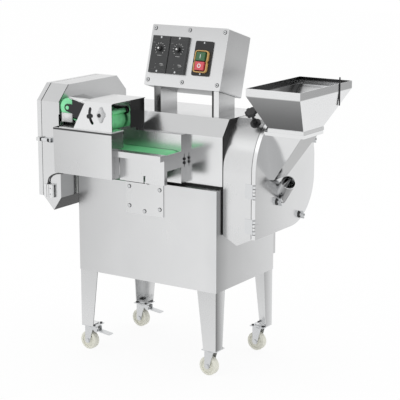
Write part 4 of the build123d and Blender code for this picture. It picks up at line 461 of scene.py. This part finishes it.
FINISH_AND_SHADE = {
    "bearings": CAST, "cabinet_shell": CABINET, "caster_mounts": MOUNTS, "control_plate": PLATE,
    "control_box": CONTROL, "control_posts": POSTS, "disc_shaft": TURNED, "leaf_knife": BLADE,
    "slicing_disc": BLADE, "disc_motor_pulley": TURNED, "knife_motor_pulley": TURNED,
    "drive_belts": RUBBER, "drive_motors": MOTOR_PAINT, "feed_belt": GREEN_BELT,
    "press_belt": PRESS_GREEN_PAINTED_LIGHT, "feed_drive_roller": GREEN_ROLLER_PAINTED_LIGHT, "feed_tail_roller": GREEN_ROLLER_PAINTED_LIGHT,
    "press_front_roller": GREEN_ROLLER_PAINTED_LIGHT, "press_rear_roller": GREEN_ROLLER_PAINTED_LIGHT, "gaskets": GASKET,
    "hinge_and_latch_plates": TURNED, "latch_lever": TURNED, "legs": LEGS, "lid_switch": SILVER,
    "lid_switch_cable": CABLE, "operator_panels": CHARCOAL, "panel_screws": SCREWS,
    "press_arms": ARMS, "speed_dial_left": BLACK, "speed_dial_right": BLACK,
    "start_button": GREEN_BUTTON, "stop_button": RED_BUTTON, "switch_bezel": AMBER,
    "top_knob": BLACK, "door_knob_1": TURNED, "door_knob_2": TURNED, "door_knob_3": TURNED,
    "upper_housing": HOUSING, "drum_shell": DRUM, "drum_door": DOOR, "hopper": HOPPER,
    "feed_chute": CHUTE, "press_housing": PRESS, "drive_side_box": DRIVE_BOX, "rear_side_box": BOX,
    "conveyor_frame": BOX, "conveyor_bracket": BOX, "knife_ring": RING, "knife_lid": LID,
}


def finish_and_shade_for(node):
    """The finish of a CAD node with its painted shade; plain sheet where nothing else is said."""
    if node.startswith("caster_wheel"):
        return NYLON
    if node.startswith(("caster_fork", "brake_pedal")):
        return ZINC
    return FINISH_AND_SHADE.get(node, SATIN)


SHARP = {"drive_belts", "lid_switch_cable", "panel_screws", "slicing_disc", "leaf_knife"}


def dress_nodes():
    """Gives every CAD node its finish with its painted shade, rounded edges and smooth curves."""
    for name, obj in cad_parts.items():
        obj.data.materials.clear()
        obj.data.materials.append(finish_and_shade_for(name))
        for polygon in obj.data.polygons:
            polygon.use_smooth = True
        if name not in SHARP:
            bevel = obj.modifiers.new("edge", "BEVEL")
            bevel.width = EDGE_WIDTH * MM
            bevel.segments = 2
            bevel.limit_method = "ANGLE"
            bevel.angle_limit = math.radians(EDGE_ANGLE)
            bevel.harden_normals = False
        normals = obj.modifiers.new("normals", "WEIGHTED_NORMAL")
        normals.keep_sharp = True


def piece(name, mesh, material, body):
    """Makes an object from a bmesh, with a finish and a slot, that rides on a body."""
    data = bpy.data.meshes.new(name)
    mesh.to_mesh(data)
    mesh.free()
    obj = bpy.data.objects.new(name, data)
    bpy.context.collection.objects.link(obj)
    data.materials.append(material)
    for polygon in data.polygons:
        polygon.use_smooth = True
    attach(obj, body)


def circles(mesh, profile, place, segments):
    """Adds one circle of points to a bmesh for each (radius, height) in mm."""
    loops = []
    for radius, height in profile:
        loop = []
        for step in range(segments):
            a = math.tau * step / segments
            point = Vector((radius * MM * math.cos(a), radius * MM * math.sin(a), height * MM))
            loop.append(mesh.verts.new(place @ point))
        loops.append(loop)
    return loops


def walls(mesh, lower_loops, upper_loops):
    """Joins circles of points in pairs with four-sided faces."""
    for lower, upper in zip(lower_loops, upper_loops):
        for step in range(len(lower)):
            after = (step + 1) % len(lower)
            mesh.faces.new((lower[step], lower[after], upper[after], upper[step]))


def turned_profile(mesh, profile, place, segments=32):
    """Adds a turned solid to a bmesh from (radius, height) points in mm."""
    loops = circles(mesh, profile, place, segments)
    walls(mesh, loops, loops[1:])
    mesh.faces.new(list(reversed(loops[0])))
    mesh.faces.new(loops[-1])


def block(mesh, place, x0, x1, y0, y1, z0, z1):
    """Adds a box in mm to a bmesh, in the local frame of place."""
    corners = []
    for z in (z0, z1):
        for x, y in ((x0, y0), (x1, y0), (x1, y1), (x0, y1)):
            corners.append(mesh.verts.new(place @ Vector((x * MM, y * MM, z * MM))))
    for face in ((3, 2, 1, 0), (4, 5, 6, 7), (0, 1, 5, 4), (1, 2, 6, 5), (2, 3, 7, 6), (3, 0, 4, 7)):
        mesh.faces.new([corners[i] for i in face])


def facing(axis):
    """A rotation that lays local Z along a world direction."""
    return Vector((0, 0, 1)).rotation_difference(Vector(axis)).to_matrix().to_4x4()


def control_place(u, v, w=0.0):
    """The control face's local frame, moved to one of its points."""
    return Matrix.Translation(control(u, v, w)) @ control_turn().to_4x4()


def ring(mesh, place, inner, outer, low_z, high_z, segments=32):
    """Adds a flat ring to a bmesh, in mm, along the local Z of place."""
    profile = ((inner, low_z), (outer, low_z), (outer, high_z), (inner, high_z))
    loops = circles(mesh, profile, place, segments)
    walls(mesh, loops, loops[1:] + loops[:1])


def dial_units():
    """Frame lines, dial scales, a white dot on each dial that is a painted highlight, and small marks on the
    speed units.
    """
    frames, scales, marks = bmesh.new(), bmesh.new(), bmesh.new()
    half = UNIT_W / 2
    for index, (u, body) in enumerate(zip(UNIT_U, ("dial_left", "dial_right"))):
        for v in (UNIT_V0 + FRAME_LINE_INSET, UNIT_V0 + UNIT_H - FRAME_LINE_INSET):
            block(frames, control_place(u, v, UNIT_T), -half + 2, half - 3, -0.5, 0.5, -0.2, 0.8)
        upright = control_place(u + half - 4.0, UNIT_V0 + UNIT_H / 2, UNIT_T)
        block(frames, upright, -0.5, 0.5, -55.0, 55.0, -0.2, 0.8)
        place = control_place(u, DIAL_V, UNIT_T)
        for step in range(TICKS):
            turn = Matrix.Rotation(math.radians(FIRST_TICK - TICK_STEP * step), 4, "Z")
            block(scales, place @ turn, *TICK_R, -0.55, 0.55, -0.1, 0.3)
        block(scales, control_place(u + 1, DIAL_V - 25, UNIT_T), -9.0, 9.0, -0.5, 0.5, -0.1, 0.3)
        for right, v, half_width, height in UNIT_MARKS:
            block(marks, control_place(u + right, v, UNIT_T), -half_width, half_width,
                  -height / 2, height / 2, -0.1, 0.25)
        # painted highlight: a white dot on the dial's top
        dot = bmesh.new()
        turned_profile(dot, ((3.6, -0.2), (3.6, 0.5), (2.8, 0.9), (1.2, 1.0)),
                       control_place(u, DIAL_V, UNIT_T + DIAL_TOP))
        piece(f"dial_highlight_{index}", dot, WHITE_MARK, body)
    piece("unit_frames", frames, CHARCOAL_EDGE, "machine")
    piece("dial_scales", scales, WHITE_MARK, "machine")
    piece("unit_marks", marks, GREY_MARK, "machine")


def button_marks():
    """A white bar on the start button and a white ring on the stop button."""
    top = SWITCH_T + BEZEL_T + BUTTON_PROUD
    bar = bmesh.new()
    block(bar, control_place(SWITCH_U, BUTTON_V[0], top), -1.1, 1.1, -7.5, 7.5, -0.2, 0.4)
    piece("start_mark", bar, WHITE_MARK, "start")
    circle = bmesh.new()
    ring(circle, control_place(SWITCH_U, BUTTON_V[1], top), 4.6, 7.6, -0.2, 0.4)
    piece("stop_mark", circle, WHITE_MARK, "stop")


def screw_details():
    """Dark rings round the large screws, painted shade at the edges of their heads, and a dark hexagon on
    each head, the painted shade of its socket.
    """
    shade_rings, recess_shades = bmesh.new(), bmesh.new()
    places = []
    for u in (CTRL_MARGIN, CTRL_W / 2, CTRL_W - CTRL_MARGIN):
        for v in (CTRL_MARGIN + SCREW_DROP, CTRL_H - CTRL_MARGIN):
            places.append(control_place(u, v))
    for x, z in BRACKET_SCREWS:
        places.append(Matrix.Translation(at(x, BRACKET_FACE_Y, z)) @ facing((0, -1, 0)))
    for place in places:
        # painted shade: a dark ring round each head and a dark hexagon for its socket
        ring(shade_rings, place, SCREW_R - 0.4, SCREW_R + 1.5, -0.2, 1.2)
        turned_profile(recess_shades, ((2.6, SCREW_H - 0.3), (2.6, SCREW_H + 0.25)), place, 6)
    piece("screw_shade_rings", shade_rings, DARK_STEEL, "machine")
    piece("screw_recess_shades", recess_shades, DARK_STEEL, "machine")


def hinge_details():
    """Dark joints between the door hinges' bright knuckles."""
    joints = bmesh.new()
    for z0, z1 in HINGE_SPANS:
        for share in HINGE_GAPS:
            place = Matrix.Translation(at(HINGE_X, HINGE_AXIS_Y, z0 + (z1 - z0) * share))
            ring(joints, place, HINGE_R - 0.5, HINGE_R + 0.25, -1.0, 1.0)
    piece("hinge_joints", joints, DARK_STEEL, "machine")


def latch_details():
    """Dark collars at the ends of the cover latch's bright barrel."""
    collars = bmesh.new()
    for x, half in LATCH_COLLARS:
        place = Matrix.Translation(at(x, LATCH_Y, LATCH_Z)) @ facing((1, 0, 0))
        ring(collars, place, LATCH_R - 0.6, LATCH_R + 0.9, -half, half)
    piece("latch_collars", collars, DARK_STEEL, "cover_latch")


def lid_switch_details():
    """Grooves, a dark edge that is painted shade, and two screws on the cover's safety switch."""
    x0, x1 = LID_SWITCH_X
    z0, z1 = LID_SWITCH_Z
    dark = bmesh.new()
    world = Matrix.Translation(at(0, LID_SWITCH_Y, 0))
    for x in (x0 + SWITCH_GROOVES[0], x0 + SWITCH_GROOVES[1]):
        block(dark, world, x - 0.6, x + 0.6, -0.3, 0.2, z0 + 1, z1 - 1)
    # painted shade: a dark strip at the back of the switch's right end
    block(dark, world, x1 - 1.5, x1 + 0.3, 10.0, 14.0, z0 + 1, z1 - 1)
    for z in (z0 + SWITCH_SCREW_Z, z1 - SWITCH_SCREW_Z):
        place = Matrix.Translation(at(x0 + SWITCH_SCREW_X, LID_SWITCH_Y, z)) @ facing((0, -1, 0))
        turned_profile(dark, ((1.8, -0.2), (1.8, 0.5)), place, 16)
    piece("lid_switch_lines", dark, BLACK, "machine")


def switch_cable():
    """The short cable that loops from the cover's switch back into the housing."""
    data = bpy.data.curves.new("switch_cable", "CURVE")
    data.dimensions = "3D"
    data.bevel_depth = CABLE_R * MM
    data.bevel_resolution = 6
    data.resolution_u = 16
    data.use_fill_caps = True
    spline = data.splines.new("NURBS")
    spline.points.add(len(CABLE_ROUTE) - 1)
    for point, place in zip(spline.points, CABLE_ROUTE):
        point.co = (*at(*place), 1.0)
    spline.order_u = 3
    spline.use_endpoint_u = True
    data.materials.append(CABLE)
    cable = bpy.data.objects.new("switch_cable", data)
    bpy.context.collection.objects.link(cable)
    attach(cable, "machine")
    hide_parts("lid_switch_cable")
    gland = bmesh.new()
    turned_profile(gland, GLAND, Matrix.Translation(at(*CABLE_ROUTE[0])), 24)
    piece("cable_gland", gland, BLACK, "machine")


def arm_block():
    """A pale nylon skin over the bearing block on the near press arm."""
    mesh = bmesh.new()
    x0, x1, y0, y1, z0, z1 = ARM_BLOCK
    skin = 0.4
    block(mesh, Matrix.Translation(at(0, 0, 0)), x0 - skin, x1 + skin, y0 - 0.3, y1 - 1.0,
          z0 - skin, z1 + skin)
    piece("arm_block", mesh, SILVER, "press")


def seam_lines():
    """Dark strips of painted shade in the seams at both edges of the ring's upper front corner."""
    mesh = bmesh.new()
    rise = Matrix.Rotation(math.radians(45), 4, "X")
    # painted shade in the seams at the ring's two edges
    for x in (RING_X[0] - 0.6, RING_X[1] - 1.2):
        place = Matrix.Translation(at(x, RING_Y0, RING_Z1 - RING_CHAMFER)) @ rise
        block(mesh, place, -0.9, 0.9, 0.0, 1.41 * RING_CHAMFER, -0.4, 0.9)
    piece("seam_lines", mesh, RUBBER, "machine")


def press_guard():
    """A thin folded strip over the press belt, from the cover to the rear roller."""
    mesh = bmesh.new()
    x0, z0, x1, z1 = GUARD
    lean = Matrix.Rotation(math.atan2(z0 - z1, x1 - x0), 4, "Y")
    place = Matrix.Translation(at(x0, 0, z0)) @ lean
    length = math.hypot(x1 - x0, z1 - z0)
    block(mesh, place, 0.0, length, GUARD_Y[0], GUARD_Y[1], 0.0, GUARD_T)
    block(mesh, place, 0.0, length, GUARD_Y[0], GUARD_Y[0] + GUARD_T, -GUARD_LIP, 0.2)
    piece("press_guard", mesh, PRESS, "press")


def tension_bolt():
    """The belt's dark tension bolt and nuts on the end of the rear side box."""
    mesh = bmesh.new()
    x, y, middle = TENSION
    block(mesh, Matrix.Translation(at(*TENSION)), 0.0, 0.5, -1.3, 1.3, -24.0, 24.0)
    for rise in TENSION_NUTS:
        head = Matrix.Translation(at(x, y, middle + rise)) @ facing((1, 0, 0))
        turned_profile(mesh, ((6.0, -0.2), (6.0, 3.0), (5.0, 3.8)), head, 6)
    piece("tension_bolt", mesh, DARK_STEEL, "machine")


def clamp_details():
    """A dark ring on the door, the clamp's painted shadow, and a dark stud end on each of the door's clamps.
    """
    for number, (body, (y, z)) in enumerate(zip(CLAMP_BODIES, CLAMPS), 1):
        mesh = bmesh.new()
        place = Matrix.Translation(at(DOOR_FACE_X, y, z)) @ facing((1, 0, 0))
        # painted shadow: a dark ring on the door round the clamp
        ring(mesh, place, *CLAMP_SHADOW_RING_R, 0.4, 2.2)
        stud = ((CLAMP_STUD_R, CLAMP_H - 0.4), (CLAMP_STUD_R, CLAMP_H + 0.6), (2.6, CLAMP_H + 1.0))
        turned_profile(mesh, stud, place, 20)
        piece(f"clamp_dark_{number}", mesh, BLACK, body)


def hopper_rod_sleeve():
    """A dark sleeve over the hopper's upright rod."""
    sleeve = bmesh.new()
    length = ROD_Z[1] - ROD_Z[0]
    place = Matrix.Translation(at(ROD_X, ROD_Y, ROD_Z[0]))
    profile = ((SLEEVE_R, 0.5), (SLEEVE_R, length - 1.5), (2.0, length + 0.4))
    turned_profile(sleeve, profile, place, 16)
    piece("rod_sleeve", sleeve, RUBBER, "door")


def add_floor():
    """A pale floor that looks white to the camera and keeps the shadow."""
    mesh = bmesh.new()
    corners = ((-1, -1), (1, -1), (1, 1), (-1, 1))
    mesh.faces.new([mesh.verts.new((x * FLOOR_HALF, y * FLOOR_HALF, 0.0)) for x, y in corners])
    data = bpy.data.meshes.new("floor")
    mesh.to_mesh(data)
    mesh.free()
    floor = bpy.data.objects.new("floor", data)
    bpy.context.collection.objects.link(floor)
    material = bpy.data.materials.new("floor")
    material.use_nodes = True
    nodes, links = material.node_tree.nodes, material.node_tree.links
    shader = nodes["Principled BSDF"]
    shader.inputs["Base Color"].default_value = (FLOOR_WHITE, FLOOR_WHITE, FLOOR_WHITE, 1.0)
    shader.inputs["Roughness"].default_value = 0.9
    shader.inputs["Specular IOR Level"].default_value = 0.0
    glow = nodes.new("ShaderNodeEmission")
    glow.inputs["Color"].default_value = (1, 1, 1, 1)
    seen = nodes.new("ShaderNodeLightPath")
    direct = nodes.new("ShaderNodeMath")
    direct.operation = "MAXIMUM"
    links.new(seen.outputs["Is Camera Ray"], direct.inputs[0])
    links.new(seen.outputs["Is Glossy Ray"], direct.inputs[1])
    through = nodes.new("ShaderNodeMath")
    through.operation = "MAXIMUM"
    links.new(direct.outputs[0], through.inputs[0])
    links.new(seen.outputs["Is Transmission Ray"], through.inputs[1])
    share = nodes.new("ShaderNodeMath")
    share.operation = "MULTIPLY"
    share.inputs[1].default_value = FLOOR_GLOW
    links.new(through.outputs[0], share.inputs[0])
    blend = nodes.new("ShaderNodeMixShader")
    links.new(share.outputs[0], blend.inputs["Fac"])
    links.new(shader.outputs[0], blend.inputs[1])
    links.new(glow.outputs[0], blend.inputs[2])
    links.new(blend.outputs[0], nodes["Material Output"].inputs["Surface"])
    data.materials.append(material)


def add_world():
    """An even white surround, for the background, the reflections and the soft light."""
    world = bpy.data.worlds.new("studio")
    bpy.context.scene.world = world
    world.use_nodes = True
    background = world.node_tree.nodes["Background"]
    background.inputs["Color"].default_value = (1, 1, 1, 1)
    background.inputs["Strength"].default_value = 1.0


def add_lamps():
    """Large soft square lamps that look at the machine."""
    for name, place, size, power in LAMPS:
        data = bpy.data.lights.new(name, "AREA")
        data.shape = "RECTANGLE"
        data.size = data.size_y = size
        data.energy = power
        lamp = bpy.data.objects.new(name, data)
        lamp.location = place
        aim = Vector(LAMP_AIM) - Vector(place)
        lamp.rotation_euler = aim.to_track_quat("-Z", "Y").to_euler()
        bpy.context.collection.objects.link(lamp)


def add_camera():
    """The photograph's viewpoint."""
    a, e = math.radians(CAMERA_AZIMUTH), math.radians(CAMERA_ELEVATION)
    away = Vector((math.sin(a) * math.cos(e), -math.cos(a) * math.cos(e), math.sin(e)))
    right = Vector((math.cos(a), math.sin(a), 0.0))
    up = away.cross(right)
    data = bpy.data.cameras.new("camera")
    data.sensor_width = SENSOR_MM
    data.lens = SENSOR_MM * FOCAL_PX / PICTURE
    data.clip_end = 60.0
    camera = bpy.data.objects.new("camera", data)
    place = at(*CAMERA_AIM) + (away * CAMERA_DISTANCE + right * CAMERA_RIGHT + up * CAMERA_UP) * MM
    turn = Matrix((right, up, away)).transposed().to_4x4()
    camera.matrix_world = Matrix.Translation(place) @ turn
    bpy.context.collection.objects.link(camera)
    bpy.context.scene.camera = camera


add_camera()
switch_cable()
dress_nodes()
dial_units()
button_marks()
screw_details()
hinge_details()
latch_details()
lid_switch_details()
arm_block()
seam_lines()
press_guard()
tension_bolt()
clamp_details()
hopper_rod_sleeve()
add_floor()
add_world()
add_lamps()
bpy.context.scene.view_settings.view_transform = "Standard"
